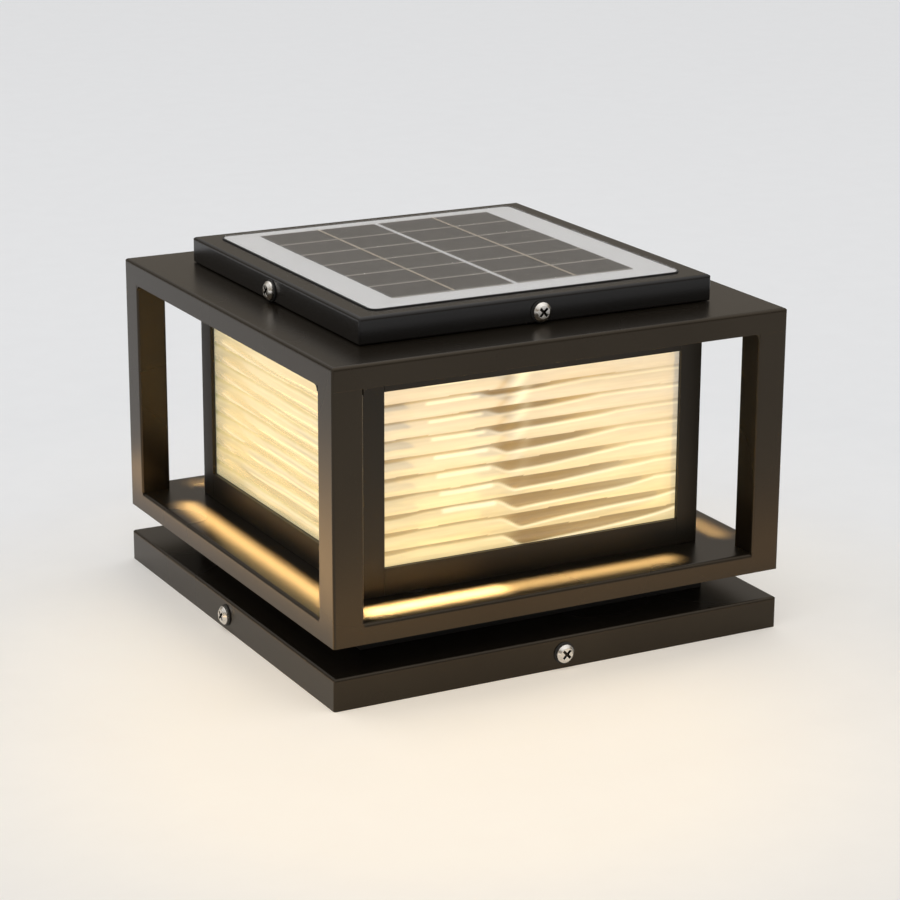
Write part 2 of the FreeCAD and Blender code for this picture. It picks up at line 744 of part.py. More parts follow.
def rail_solid(back_z, groove_z, turn):
    """Hollow rail between two corner extrusions. Its back lies at back_z and its
    glazing groove opens at groove_z."""
    up = 1 if groove_z > back_z else -1
    floor_z = groove_z - up * groove_depth
    outer_y = -lantern_half
    face_y = outer_y + face_thickness
    lip_y = face_y + groove_width
    inner_y = outer_y + frame_depth
    x0 = -pane_view_half
    outline = polygon([(x0, outer_y, back_z), (x0, outer_y, groove_z), (x0, face_y, groove_z),
                       (x0, face_y, floor_z), (x0, lip_y, floor_z), (x0, lip_y, groove_z),
                       (x0, inner_y, groove_z), (x0, inner_y, back_z)])
    wall = rail_wall
    chamber = polygon([(x0, outer_y + wall, back_z + up * wall), (x0, outer_y + wall, floor_z - up * wall),
                       (x0, inner_y - wall, floor_z - up * wall), (x0, inner_y - wall, back_z + up * wall)])
    return turned(extruded([outline, chamber], (2 * pane_view_half, 0, 0)), turn)


# ------------------------------------------------------------------ glazing
def pane_outer_y():
    """Plane of the ribs' crests on the front pane."""
    return -lantern_half + face_thickness + gasket_thickness


def pane_box(grow):
    """Half width, bottom and top of a pane, made larger by grow on each edge."""
    reach = groove_depth - gasket_thickness + grow
    return pane_view_half + reach, pane_view_bottom_z - reach, pane_view_top_z + reach


def glass_pane(turn):
    """Ribbed glass: a row of convex ribs along the pane, its back face plain."""
    half, bottom, top = pane_box(0)
    crest = pane_outer_y()
    valley = crest + rib_depth
    back = crest + glass_thickness
    count = int((top - bottom) // rib_pitch)
    margin = (top - bottom - count * rib_pitch) / 2
    start = Vector(-half, valley, bottom)
    edges = [Part.LineSegment(Vector(-half, back, bottom), start).toShape()]
    first = Vector(-half, valley, bottom + margin)
    if margin > 0.01:
        edges.append(Part.LineSegment(start, first).toShape())
    for rib in range(count):
        low = Vector(-half, valley, bottom + margin + rib * rib_pitch)
        middle = Vector(-half, crest, low.z + rib_pitch / 2)
        high = Vector(-half, valley, low.z + rib_pitch)
        edges.append(Part.Arc(low, middle, high).toShape())
    last = Vector(-half, valley, top)
    if margin > 0.01:
        edges.append(Part.LineSegment(Vector(-half, valley, top - margin), last).toShape())
    edges.append(Part.LineSegment(last, Vector(-half, back, top)).toShape())
    edges.append(Part.LineSegment(Vector(-half, back, top), Vector(-half, back, bottom)).toShape())
    pane = Part.Face(Part.Wire(edges)).extrude(Vector(2 * half, 0, 0))
    return turned(pane, turn)


def glazing_gasket(turn):
    """Rubber channel round the edge of a pane, filling its groove."""
    half, bottom, top = pane_box(gasket_thickness)
    front = -lantern_half + face_thickness
    ring = block(-half, front, bottom, half, front + groove_width, top)
    ring = ring.cut(block(-pane_view_half, front - cut_over, pane_view_bottom_z, pane_view_half,
                          front + groove_width + cut_over, pane_view_top_z))
    half, bottom, top = pane_box(0)
    crest = pane_outer_y()
    ring = ring.cut(block(-half, crest, bottom, half, crest + glass_thickness, top))
    return turned(ring, turn)


# ------------------------------------------------------------------ lamp
def lamp_base():
    """Turned aluminium foot: a flange on the floor and a cup for the tube."""
    socket = lamp_diameter / 2 + lamp_fit
    seat = (0, 0, lamp_seat_z)
    foot = prism(lamp_sides, lamp_base_diameter, seat, lamp_base_flange, (0, 0, 1))
    cup = prism(lamp_sides, 2 * (socket + lamp_cup_wall), seat, lamp_base_height, (0, 0, 1))
    foot = foot.fuse(cup).removeSplitter()
    return foot.cut(prism(lamp_sides, 2 * socket, (0, 0, lamp_tube_bottom_z), lamp_height, (0, 0, 1)))


def lamp_tube():
    """Frosted tube with a closed top and a chamfer round it."""
    height = lamp_top_z - lamp_tube_bottom_z
    tube = prism(lamp_sides, lamp_diameter, (0, 0, lamp_tube_bottom_z), height, (0, 0, 1))
    rim = [edge for edge in tube.Edges if abs(edge.CenterOfMass.z - lamp_top_z) < 0.01]
    tube = tube.makeChamfer(lamp_top_chamfer, rim)
    below = (0, 0, lamp_tube_bottom_z - cut_over)
    room = prism(lamp_sides, lamp_diameter - 2 * lamp_wall, below, height - lamp_wall + cut_over, (0, 0, 1))
    return tube.cut(room)


def core_height():
    """Height of the lamp's core, from its seat in the foot."""
    return lamp_height - lamp_base_flange - lamp_wall - core_top_gap


def lamp_core():
    """Square aluminium core with a groove down each corner, carrying the strips."""
    half = core_width / 2
    core = square_block(half, lamp_tube_bottom_z, lamp_tube_bottom_z + core_height())
    groove = square_block(core_groove_depth, lamp_tube_bottom_z - cut_over,
                          lamp_tube_bottom_z + core_height() + cut_over)
    for x, y in corner_places(half):
        core = core.cut(moved(groove, x, y, 0))
    return core.cut(bore(core_bore_diameter / 2, (0, 0, lamp_tube_bottom_z), core_height(), (0, 0, 1)))


def led_strips():
    """Four boards on the core's faces."""
    half = core_width / 2
    board = block(-strip_width / 2, -half - strip_thickness, lamp_tube_bottom_z + strip_end_gap,
                  strip_width / 2, -half, lamp_tube_bottom_z + core_height() - strip_end_gap)
    return group(four_sides(board))


def led_chips():
    """Light-emitting chips in a row on each board."""
    face = core_width / 2 + strip_thickness
    middle = lamp_tube_bottom_z + core_height() / 2
    chips = []
    for step in range(chips_per_strip):
        z = middle + (step - (chips_per_strip - 1) / 2) * chip_pitch
        chip = block(-chip_size / 2, -face - chip_thickness, z - chip_size / 2, chip_size / 2, -face,
                     z + chip_size / 2)
        chips.extend(four_sides(chip))
    return group(chips)


def ceiling_pan():
    """White reflector over the lamp, its walls up to the cage top."""
    pan = square_block(ceiling_half, ceiling_z, head_under_z)
    return pan.cut(square_block(ceiling_half - ceiling_sheet, ceiling_z + ceiling_sheet, head_under_z + cut_over))


# ------------------------------------------------------------------ battery bay
def bay_block(grow, z0, z1):
    """Block on the bay's outer walls, made larger by grow on each side."""
    cut = bay_corner_cut - bay_clearance + grow
    return cut_corner_block(bay_length / 2 - bay_clearance + grow, bay_width / 2 - bay_clearance + grow, cut,
                            z0, z1)


def battery_bay():
    """Moulded tray hung in the cage top by its flange, with a rim for the seal."""
    tray = bay_block(0, bay_bottom_z, head_deck_z)
    tray = tray.fuse(bay_block(bay_flange, head_deck_z, head_deck_z + bay_wall))
    tray = tray.fuse(bay_block(0, head_deck_z, bay_rim_top_z))
    tray = tray.cut(bay_block(-bay_wall, bay_floor_z, bay_rim_top_z + cut_over))
    boss_y = board_width / 2 - board_boss_inset
    for x in (board_left_x + board_boss_inset, board_right_x - board_boss_inset):
        for y in (-boss_y, boss_y):
            tray = tray.fuse(shank(board_boss_diameter / 2, (x, y, bay_bottom_z), bay_wall + board_stand,
                                   (0, 0, 1)))
    return tray


def bay_seal():
    """Foam ring between the bay's rim and the lid's dished top."""
    ring = bay_block(0, bay_rim_top_z, dish_under_z)
    return ring.cut(bay_block(-bay_wall, bay_rim_top_z - cut_over, dish_under_z + cut_over))


def battery_rows():
    """Where the cells lie across the bay."""
    return [(index - (battery_count - 1) / 2) * battery_pitch for index in range(battery_count)]


def battery_axis_z():
    """Height of the cells' axes."""
    return bay_floor_z + holder_floor + cell_diameter / 2 + holder_clearance


def battery_holder():
    """Cradle with a channel for each cell and upright ends."""
    inner = cell_length / 2 + contact_gap
    wide_half = battery_count * battery_pitch / 2 + holder_side
    axis_z = battery_axis_z()
    cradle = block(-holder_half_x, -wide_half, bay_floor_z, holder_half_x, wide_half, axis_z)
    for y in battery_rows():
        side = cell_diameter / 2 + holder_clearance
        cradle = cradle.cut(block(-inner, y - side, axis_z - side, inner, y + side, axis_z + cut_over))
    for x in (-holder_half_x, inner):
        cradle = cradle.fuse(block(x, -wide_half, axis_z, x + holder_end, wide_half, axis_z + holder_end_rise))
    return moved(cradle, holder_centre_x, 0, 0)


def battery_cells():
    """Lithium cells with a raised nub at one end, laid to and fro."""
    body = prism(cell_sides, cell_diameter, (-cell_length / 2, 0, 0), cell_length, (1, 0, 0))
    cell = body.fuse(shank(cell_nub_diameter / 2, (0, 0, 0), cell_length / 2 + cell_nub_height, (1, 0, 0)))
    return group([moved(turned(cell, 2 * index), holder_centre_x, y, battery_axis_z())
                  for index, y in enumerate(battery_rows())])


def battery_contacts():
    """Plates at the ends of the cells."""
    half = contact_width / 2
    end = cell_length / 2 + contact_gap
    plate = block(end - contact_thickness, -half, -half, end, half, half)
    return group([moved(turned(plate, turn), holder_centre_x, y, battery_axis_z())
                  for y in battery_rows() for turn in (0, 2)])


def charge_board():
    """Charge controller board on the bay's bosses."""
    z = bay_floor_z + board_stand
    return block(board_left_x, -board_width / 2, z, board_right_x, board_width / 2, z + board_thickness)


def board_parts():
    """Coil, capacitor, controller and sockets on the charge board."""
    coil = shank(coil_diameter / 2, (-board_length / 4, board_width / 5, 0), coil_height, (0, 0, 1))
    capacitor = shank(capacitor_diameter / 2, (board_length / 4, board_width / 4, 0), capacitor_height,
                      (0, 0, 1))
    half = controller_width / 2
    pieces = [coil, capacitor, block(-half, -half, 0, half, half, controller_height)]
    socket_y = -board_width / 2 + socket_edge_gap
    for index in range(socket_count):
        x = (index - (socket_count - 1) / 2) * socket_pitch - socket_width / 2
        pieces.append(block(x, socket_y, 0, x + socket_width, socket_y + socket_depth, socket_height))
    z = bay_floor_z + board_stand + board_thickness
    return group([moved(piece, board_centre_x, 0, z) for piece in pieces])


# ------------------------------------------------------------------ lid and solar panel
def lid_bracket():
    """Angle on the cage top at the front. Its upright has a notch for the lid's
    screw and its foot is cut away under the nut."""
    half = lid_bracket_width / 2
    outer = lid_bracket_outer
    top = head_deck_z + lid_bracket_height
    upright = block(-half, -outer, head_deck_z, half, -outer + sheet, top)
    top_corners = [edge for edge in upright.Edges if abs(abs(edge.CenterOfMass.x) - half) < 0.01
                   and abs(edge.CenterOfMass.z - top) < 0.01]
    upright = upright.makeChamfer(lid_bracket_corner_cut, top_corners)
    foot = block(-half, -outer, head_deck_z, half, -outer + lid_bracket_foot, head_deck_z + sheet)
    bracket = upright.fuse(foot).removeSplitter()
    nut_room = nut_width / math.sqrt(3) + lid_bracket_nut_gap
    bracket = bracket.cut(block(-nut_room, -outer + sheet, head_deck_z - cut_over, nut_room,
                                -outer + lid_bracket_foot + cut_over, head_deck_z + sheet + cut_over))
    return bracket.cut(open_notch(outer, sheet, lid_screw_z, top))


def panel_block(grow, z0, z1):
    """Rounded block on the panel's outline, made larger by grow on each side."""
    return rounded_block(panel_width / 2 + grow, panel_length / 2 + grow, panel_corner_radius + grow, z0, z1)


def lid_shell():
    """Folded sheet lid with rounded edges and a dished seat for the panel."""
    outer = hipped_form(lid_half, lid_bottom_z, lid_top_z, 0, lid_half - eave_radius, eave_radius, hem_radius)
    outer = with_round_corners(outer, lid_half, corner_radius, lid_bottom_z, lid_top_z)
    shell = outer.cut(square_block(lid_half - sheet, lid_bottom_z - cut_over, lid_under_z))
    shell = shell.fuse(panel_block(panel_bead_width + sheet, dish_under_z, lid_under_z))
    shell = shell.cut(panel_block(panel_bead_width, panel_seat_z, lid_top_z + cut_over))
    slot = block(-junction_slot_length / 2, junction_centre_y - junction_slot_width / 2, dish_under_z - cut_over,
                 junction_slot_length / 2, junction_centre_y + junction_slot_width / 2, panel_seat_z + cut_over)
    shell = shell.cut(slot)
    return cut_side_holes(shell, lid_half, lid_screw_z)


def cell_boxes():
    """Corner to corner boxes of the solar cells, in columns and rows."""
    width = (cell_field_width - (cell_columns - 1) * cell_column_gap) / cell_columns
    length = (cell_field_back - cell_field_front - (cell_rows - 1) * cell_row_gap) / cell_rows
    cells = []
    for column in range(cell_columns):
        x = -cell_field_width / 2 + column * (width + cell_column_gap)
        for row in range(cell_rows):
            y = cell_field_front + row * (length + cell_row_gap)
            cells.append(block(x, y, panel_board_top_z, x + width, y + length,
                               panel_board_top_z + cell_thickness))
    return cells


def ribbon_strips():
    """One flat conductor along the middle of each column of cells."""
    width = (cell_field_width - (cell_columns - 1) * cell_column_gap) / cell_columns
    z = panel_board_top_z + cell_thickness
    strips = []
    for column in range(cell_columns):
        x = -cell_field_width / 2 + column * (width + cell_column_gap) + width / 2
        strips.append(block(x - ribbon_width / 2, cell_field_front, z, x + ribbon_width / 2,
                            cell_field_back, z + ribbon_thickness))
    return strips


def panel_board():
    """White board that carries the cells."""
    return panel_block(0, panel_seat_z, panel_board_top_z)


def panel_cover():
    """Clear resin over board and cells."""
    cover = panel_block(0, panel_board_top_z, panel_top_z)
    for piece in cell_boxes() + ribbon_strips():
        cover = cover.cut(piece)
    return cover


def panel_bead():
    """Black sealant between the panel and its seat, standing a little above the lid."""
    bead = panel_block(panel_bead_width, panel_seat_z, lid_top_z + panel_bead_stand)
    return bead.cut(panel_block(0, panel_seat_z - cut_over, panel_top_z))


def junction_box():
    """Small box under the lid over the panel's leads."""
    box = cut_corner_block(junction_length / 2, junction_width / 2, junction_corner_cut,
                           dish_under_z - junction_height, dish_under_z)
    return moved(box, 0, junction_centre_y, 0)


# ------------------------------------------------------------------ push switch
def switch_bush_end():
    """Y of the bush's outer end."""
    return neck_half + switch_seal_thickness + switch_nut_height


def switch_housing():
    """Switch body inside the neck with a bush out through its wall."""
    inner_face = neck_half - sheet
    body = block(-switch_body_width / 2, inner_face - switch_body_depth, switch_z - switch_body_height / 2,
                 switch_body_width / 2, inner_face, switch_z + switch_body_height / 2)
    floor = inner_face - switch_bore_depth
    depth = switch_bush_end() - floor
    start = (0, floor, switch_z)
    bush = prism(switch_sides, switch_bush_diameter, start, depth, (0, 1, 0))
    room = prism(switch_sides, switch_button_diameter + 2 * switch_fit, start, depth + cut_over, (0, 1, 0))
    return body.fuse(bush).cut(room)


def switch_ring(outline, y, length):
    """A ring on the switch's bush."""
    radius = switch_bush_diameter / 2 + nut_bore_clearance
    return outline.cut(bore(radius, (0, y, switch_z), length, (0, 1, 0), switch_sides))


def switch_button():
    """Button with a chamfered face. It springs out and clicks in towards the neck."""
    back = neck_half - sheet - switch_bore_depth + switch_travel + switch_end_gap
    end = switch_bush_end() + switch_button_stand
    button = prism(switch_sides, switch_button_diameter, (0, back, switch_z), end - back, (0, 1, 0))
    rim = [edge for edge in button.Edges if abs(edge.CenterOfMass.y - end) < 0.01]
    return button.makeChamfer(switch_button_chamfer, rim)


def frame_screws():
    """The small screws of the frame: base tray to neck, neck and lower pan to the
    lantern's corners, lower pan to the posts, and upper pan to the lantern."""
    neck_length = 2 * sheet + neck_nut_height + screw_projection
    screws = [small_screw(x, y, base_deck_under_z, neck_length, True)
              for x, y in corner_places(neck_screw_reach())]
    for x, y in corner_places(lantern_screw_reach()):
        screws.append(small_screw(x, y, sill_under_z - sheet, 2 * sheet + small_screw_bite, True))
        screws.append(small_screw(x, y, head_deck_z, sheet + small_screw_bite, False))
    for x, y in corner_places(post_reach()):
        screws.append(small_screw(x, y, sill_under_z, sheet + plug_length - post_screw_end_gap, True))
    return group(screws)


# ------------------------------------------------------------------ write every sub-part
def write_base():
    save("mounting_bracket", mounting_bracket())
    save("base_tray", base_tray())
    save("neck_riser", neck_riser())
    save("neck_nuts", neck_nuts())
    screw_set("base", base_half, ear_outer - bracket_sheet, base_screw_z)


def write_cage():
    save("cage_sill", cage_sill())
    save("cage_head", cage_head())
    places = corner_places(post_reach())
    for name, (x, y) in zip(corner_names, places):
        save("cage_post_" + name, cage_post(x, y))
    save("post_plugs", group([plug(x, y) for plug in (post_top_plug, post_foot_plug) for x, y in places]))
    save("frame_screws", frame_screws())


def write_lantern():
    for turn, name in enumerate(corner_names):
        save("lantern_corner_" + name, lantern_corner(turn))
    for turn, name in enumerate(side_names):
        save("lantern_sill_rail_" + name, rail_solid(sill_top_z, pane_view_bottom_z, turn))
        save("lantern_head_rail_" + name, rail_solid(head_under_z, pane_view_top_z, turn))
        save("glass_pane_" + name, glass_pane(turn))
    save("glazing_gaskets", group([glazing_gasket(turn) for turn in range(4)]))


def write_lamp():
    save("lamp_base", lamp_base())
    save("lamp_core", lamp_core())
    save("led_strips", led_strips())
    save("led_chips", led_chips())
    save("lamp_tube", lamp_tube())
    save("ceiling_pan", ceiling_pan())


def write_battery_bay():
    save("battery_bay", battery_bay())
    save("bay_seal", bay_seal())
    save("battery_holder", battery_holder())
    save("battery_cells", battery_cells())
    save("battery_contacts", battery_contacts())
    save("charge_board", charge_board())
    save("board_parts", board_parts())


def write_lid():
    save("lid_brackets", group(four_sides(lid_bracket())))
    save("lid_shell", lid_shell())
    save("panel_board", panel_board())
    save("solar_cells", group(cell_boxes()))
    save("cell_ribbons", group(ribbon_strips()))
    save("panel_cover", panel_cover())
    save("panel_bead", panel_bead())
    save("junction_box", junction_box())
    screw_set("lid", lid_half, lid_bracket_outer - sheet, lid_screw_z)


def write_switch():
    save("switch_housing", switch_housing())
    seal = prism(switch_sides, switch_nut_width, (0, neck_half, switch_z), switch_seal_thickness, (0, 1, 0))
    save("switch_seal", switch_ring(seal, neck_half, switch_seal_thickness))
    nut_y = neck_half + switch_seal_thickness
    nut = prism(6, switch_nut_width, (0, nut_y, switch_z), switch_nut_height, (0, 1, 0))
    save("switch_nut", switch_ring(nut, nut_y, switch_nut_height))
    save("switch_button", switch_button())


os.makedirs("parts", exist_ok=True)
write_base()
write_cage()
write_lantern()
write_lamp()
write_battery_bay()
write_lid()
write_switch()
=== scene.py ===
import json
import math

import bmesh
import bpy
from mathutils import Matrix, Vector, noise

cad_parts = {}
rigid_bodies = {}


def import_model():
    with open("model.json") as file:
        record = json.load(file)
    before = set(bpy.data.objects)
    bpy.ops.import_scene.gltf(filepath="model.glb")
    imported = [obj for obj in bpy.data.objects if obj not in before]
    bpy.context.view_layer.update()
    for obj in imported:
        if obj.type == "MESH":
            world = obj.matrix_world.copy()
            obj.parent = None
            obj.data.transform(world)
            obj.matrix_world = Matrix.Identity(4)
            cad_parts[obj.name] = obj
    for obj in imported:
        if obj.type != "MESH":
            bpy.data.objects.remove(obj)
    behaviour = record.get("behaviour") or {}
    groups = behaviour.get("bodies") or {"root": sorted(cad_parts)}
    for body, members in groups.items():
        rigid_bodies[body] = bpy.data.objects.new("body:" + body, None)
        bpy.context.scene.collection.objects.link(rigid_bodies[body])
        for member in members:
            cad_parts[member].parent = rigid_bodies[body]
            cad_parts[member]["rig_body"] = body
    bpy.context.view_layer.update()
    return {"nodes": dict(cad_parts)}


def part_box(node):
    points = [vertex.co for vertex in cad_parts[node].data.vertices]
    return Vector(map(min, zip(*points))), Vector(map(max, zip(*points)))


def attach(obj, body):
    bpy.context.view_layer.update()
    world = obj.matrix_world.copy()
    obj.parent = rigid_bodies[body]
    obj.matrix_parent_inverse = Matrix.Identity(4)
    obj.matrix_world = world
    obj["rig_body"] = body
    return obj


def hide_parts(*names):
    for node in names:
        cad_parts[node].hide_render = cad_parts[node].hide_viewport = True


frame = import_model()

# Looks of a solar cap light for a deck post, lit from inside.
#
# Metres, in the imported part's frame: front -Y, back +Y, right +X, left -X, and the
# base's lower edge at z = 0. The panes are worked out in millimetres.

nodes = frame["nodes"]
MM = 0.001
sides = ("front", "right", "back", "left")      # a quarter turn from each to the next


def directions(turn):
    """Outward and sideways on one of the four sides."""
    angle = math.radians(90 * turn)
    out = Vector((math.sin(angle), -math.cos(angle), 0))
    along = Vector((math.cos(angle), math.sin(angle), 0))
    return out, along


# ------------------------------------------------------------------ camera
# Fitted to the photograph: angles in degrees, place in millimetres, and the focal
# length in pixels of its width
camera_azimuth = -28.3327533
camera_elevation = 16.9392296
camera_roll = 0.306311162
camera_place = (-653.895451, -1219.05200, 499.244882)
focal_pixels = 2779.88147
photo_pixels = 900.0
sensor_width = 36.0


def camera():
    """The photograph's camera."""
    azimuth, elevation, roll = map(math.radians, (camera_azimuth, camera_elevation, camera_roll))
    back = Vector((math.sin(azimuth) * math.cos(elevation),
                   -math.cos(azimuth) * math.cos(elevation), math.sin(elevation)))
    right = Vector((0, 0, 1)).cross(back).normalized()
    up = back.cross(right)
    rolled_right = right * math.cos(roll) + up * math.sin(roll)
    rolled_up = up * math.cos(roll) - right * math.sin(roll)
    data = bpy.data.cameras.new("photo_camera")
    data.sensor_width = sensor_width
    data.lens = focal_pixels * sensor_width / photo_pixels
    data.clip_start = 0.05
    data.clip_end = 60.0
    eye = bpy.data.objects.new("photo_camera", data)
    place = Matrix((rolled_right, rolled_up, back)).transposed().to_4x4()
    place.translation = Vector(camera_place) * MM
    eye.matrix_world = place
    bpy.context.scene.collection.objects.link(eye)
    bpy.context.scene.camera = eye


# ------------------------------------------------------------------ material graphs
def fill_ramp(ramp, stops):
    """Gives a colour ramp its stops. A plain number is a grey."""
    while len(ramp.elements) < len(stops):
        ramp.elements.new(0.5)
    for spot, (place, colour) in zip(ramp.elements, stops):
        spot.position = place
        spot.color = (*colour, 1.0) if isinstance(colour, tuple) else (colour, colour, colour, 1.0)


class Graph:
    """A material's node tree, with short calls for the nodes used here."""

    def __init__(self, name):
        self.material = bpy.data.materials.new(name)
        self.material.use_nodes = True
        self.tree = self.material.node_tree
        self.tree.nodes.clear()
        self.output = self.tree.nodes.new("ShaderNodeOutputMaterial")
        self.place = self.tree.nodes.new("ShaderNodeTexCoord").outputs["Object"]

    def set(self, socket, value):
        """Links a socket to another one, or gives it a number or a colour."""
        if isinstance(value, bpy.types.NodeSocket):
            self.tree.links.new(value, socket)
        elif isinstance(value, (tuple, list)) and len(value) == 3 and socket.type == "RGBA":
            socket.default_value = (*value, 1.0)
        else:
            socket.default_value = value

    def node(self, kind, output=0, **inputs):
        made = self.tree.nodes.new(kind)
        for key, value in inputs.items():
            self.set(made.inputs[key.replace("_", " ")], value)
        return made.outputs[output]

    def mark(self, name, output="Fac"):
        """A number or colour that the mesh carries."""
        made = self.tree.nodes.new("ShaderNodeAttribute")
        made.attribute_name = name
        return made.outputs[output]

    def math(self, operation, a, b=0.0):
        made = self.tree.nodes.new("ShaderNodeMath")
        made.operation = operation
        self.set(made.inputs[0], a)
        self.set(made.inputs[1], b)
        return made.outputs[0]

    def axes(self):
        return self.node_outputs("ShaderNodeSeparateXYZ", self.place)

    def node_outputs(self, kind, value):
        made = self.tree.nodes.new(kind)
        self.set(made.inputs[0], value)
        return made.outputs

    def noise(self, scale, detail=2.0, roughness=0.5, place=None):
        return self.node("ShaderNodeTexNoise", Vector=place or self.place, Scale=scale,
                         Detail=detail, Roughness=roughness)

    def stretch(self, x, y, z):
        """The place on the object, scaled differently along its axes."""
        made = self.tree.nodes.new("ShaderNodeMapping")
        self.set(made.inputs["Vector"], self.place)
        made.inputs["Scale"].default_value = (x, y, z)
        return made.outputs[0]

    def grey(self, value):
        return self.node("ShaderNodeCombineColor", Red=value, Green=value, Blue=value)

    def ramp(self, factor, *stops):
        made = self.tree.nodes.new("ShaderNodeValToRGB")
        self.set(made.inputs[0], factor)
        fill_ramp(made.color_ramp, stops)
        return made.outputs[0]

    def span(self, value, low, high, new_low=0.0, new_high=1.0):
        made = self.tree.nodes.new("ShaderNodeMapRange")
        for socket, number in zip(made.inputs[:5], (value, low, high, new_low, new_high)):
            self.set(socket, number)
        return made.outputs[0]

    def mix(self, factor, a, b, blend="MIX"):
        made = self.tree.nodes.new("ShaderNodeMix")
        made.data_type = "RGBA"
        made.blend_type = blend
        self.set(made.inputs[0], factor)
        self.set(made.inputs[6], a)
        self.set(made.inputs[7], b)
        return made.outputs[2]

    def bump(self, height, distance):
        made = self.tree.nodes.new("ShaderNodeBump")
        self.set(made.inputs["Height"], height)
        made.inputs["Distance"].default_value = distance
        return made.outputs[0]

    def principled(self, **inputs):
        return self.node("ShaderNodeBsdfPrincipled", **inputs)

    def mix_shaders(self, factor, a, b):
        made = self.tree.nodes.new("ShaderNodeMixShader")
        for socket, value in zip(made.inputs, (factor, a, b)):
            self.set(socket, value)
        return made.outputs[0]

    def let_lamps_through(self, shader, tint):
        """The shader for what is seen, and clear tinted glass for light from a lamp."""
        is_lamp = self.tree.nodes.new("ShaderNodeLightPath").outputs["Is Shadow Ray"]
        return self.mix_shaders(is_lamp, shader, self.node("ShaderNodeBsdfTransparent", Color=tint))

    def finish(self, shader):
        self.tree.links.new(shader, self.output.inputs["Surface"])
        return self.material


# ------------------------------------------------------------------ materials
# Noise scales are in waves to the metre, bump depths in metres.
def satin_paint(name, light, dark, metallic, rough, wear=(0.30, 0.24, 0.18)):
    """Satin metallic paint: slow tone changes, fine flakes, orange peel and rubbed edges. The edges
    that carry the mark "lit" get a painted golden highlight, as emission."""
    g = Graph(name)
    flake_tone = tuple(min(1.0, c * 2.6) for c in light)
    tone = g.mix(g.span(g.noise(14.0, 3.0, 0.55), 0.3, 0.7), dark, light)
    tone = g.mix(g.span(g.noise(1300.0, 1.0), 0.62, 0.80, 0.0, 0.08), tone, flake_tone)
    patches = g.span(g.noise(180.0, 4.0, 0.7), 0.52, 0.66, 0.0, 0.08)
    tone = g.mix(g.math("MULTIPLY", g.mark("edge"), patches), tone, wear)
    roughness = g.span(g.noise(12.0, 1.0), 0.3, 0.7, rough - 0.004, rough + 0.008)
    # Painted highlight: a golden glint emitted on the edges marked "lit"
    painted_glint = g.mix(g.mark("lit"), (0.0, 0.0, 0.0), (0.20, 0.105, 0.028))
    return g.finish(g.principled(Base_Color=tone, Metallic=metallic, Roughness=roughness,
                                 Normal=g.bump(g.noise(900.0), 0.0000004),
                                 Emission_Color=painted_glint, Emission_Strength=1.0))


def ribbed_glass():
    """Pressed glass with seeds in it. The lamp's light and shade in its ribs are painted light:
    emission in the colour of the pane's painted glow mark."""
    g = Graph("ribbed_glass_look")
    seeds = g.span(g.noise(420.0, 2.0, 0.6), 0.70, 0.82)
    tint = g.mix(seeds, (0.91, 0.75, 0.42), (0.80, 0.62, 0.30))
    normal = g.bump(g.noise(160.0, place=g.stretch(0.35, 0.35, 1.6)), 0.00005)
    streaks = g.noise(120.0, 3.0, 0.6, g.stretch(0.16, 0.16, 1.4))
    shimmer = g.grey(g.span(streaks, 0.35, 0.65, 0.86, 1.06))
    # Painted light and shade of the lamp in the ribs, as emission
    glow = g.mix(1.0, g.mark("glow", "Color"), shimmer, "MULTIPLY")
    glass = g.principled(Base_Color=tint, Roughness=0.06, IOR=1.5, Transmission_Weight=0.66,
                         Normal=normal, Emission_Color=glow, Emission_Strength=1.0)
    return g.finish(g.let_lamps_through(glass, (0.95, 0.90, 0.76)))


def plastic(name, colour, rough=0.45, grain=1400.0, depth=0.00002, spread=0.25):
    """Moulded plastic or rubber with a fine spark-eroded grain."""
    g = Graph(name)
    dark = tuple(c * (1 - spread) for c in colour)
    light = tuple(min(1.0, c * (1 + spread)) for c in colour)
    tone = g.mix(g.noise(30.0, 3.0, 0.6), dark, light)
    roughness = g.span(g.noise(90.0), 0.3, 0.7, rough - 0.06, rough + 0.08)
    return g.finish(g.principled(Base_Color=tone, Roughness=roughness,
                                 Normal=g.bump(g.noise(grain, 2.0, 0.6), depth)))


def metal(name, light, dark, rough=0.25, scale=700.0, depth=0.000004):
    """Bare metal with fine machining marks and slightly dull patches. It is painted dark, as shade,
    in the recesses that the mesh marks."""
    g = Graph(name)
    tone = g.mix(g.span(g.noise(220.0, 4.0, 0.65), 0.35, 0.7), light, dark)
    # Painted shade in the screws' cross recesses
    tone = g.mix(g.mark("recess_shade"), tone, (0.03, 0.026, 0.022))
    roughness = g.span(g.noise(scale, 3.0, 0.6), 0.3, 0.7, rough - 0.06, rough + 0.1)
    return g.finish(g.principled(Base_Color=tone, Metallic=1.0, Roughness=roughness,
                                 Normal=g.bump(g.noise(scale * 1.7, 2.0, 0.6), depth)))


def lamp_glow():
    """Frosted tube lit from inside, dimmer at its foot and its top."""
    tube_foot, tube_top = 0.044, 0.108
    g = Graph("lamp_glow")
    fade = g.ramp(g.span(g.axes()[2], tube_foot, tube_top),
                  (0.0, 0.55), (0.12, 1.0), (0.9, 1.0), (1.0, 0.7))
    speck = g.span(g.noise(900.0), 0.3, 0.7, 0.92, 1.0)
    colour = g.mix(g.math("MULTIPLY", fade, speck), (1.0, 0.62, 0.24), (1.0, 0.86, 0.60))
    return g.finish(g.principled(Base_Color=(0.9, 0.87, 0.8), Roughness=0.5,
                                 Emission_Color=colour, Emission_Strength=0.38))


def chip_glow():
    """Lit LED chip under its yellow phosphor."""
    g = Graph("chip_glow")
    colour = g.mix(g.noise(800.0), (1.0, 0.75, 0.35), (1.0, 0.88, 0.55))
    return g.finish(g.principled(Base_Color=colour, Roughness=0.4, Emission_Color=(1.0, 0.8, 0.45),
                                 Emission_Strength=2.0))


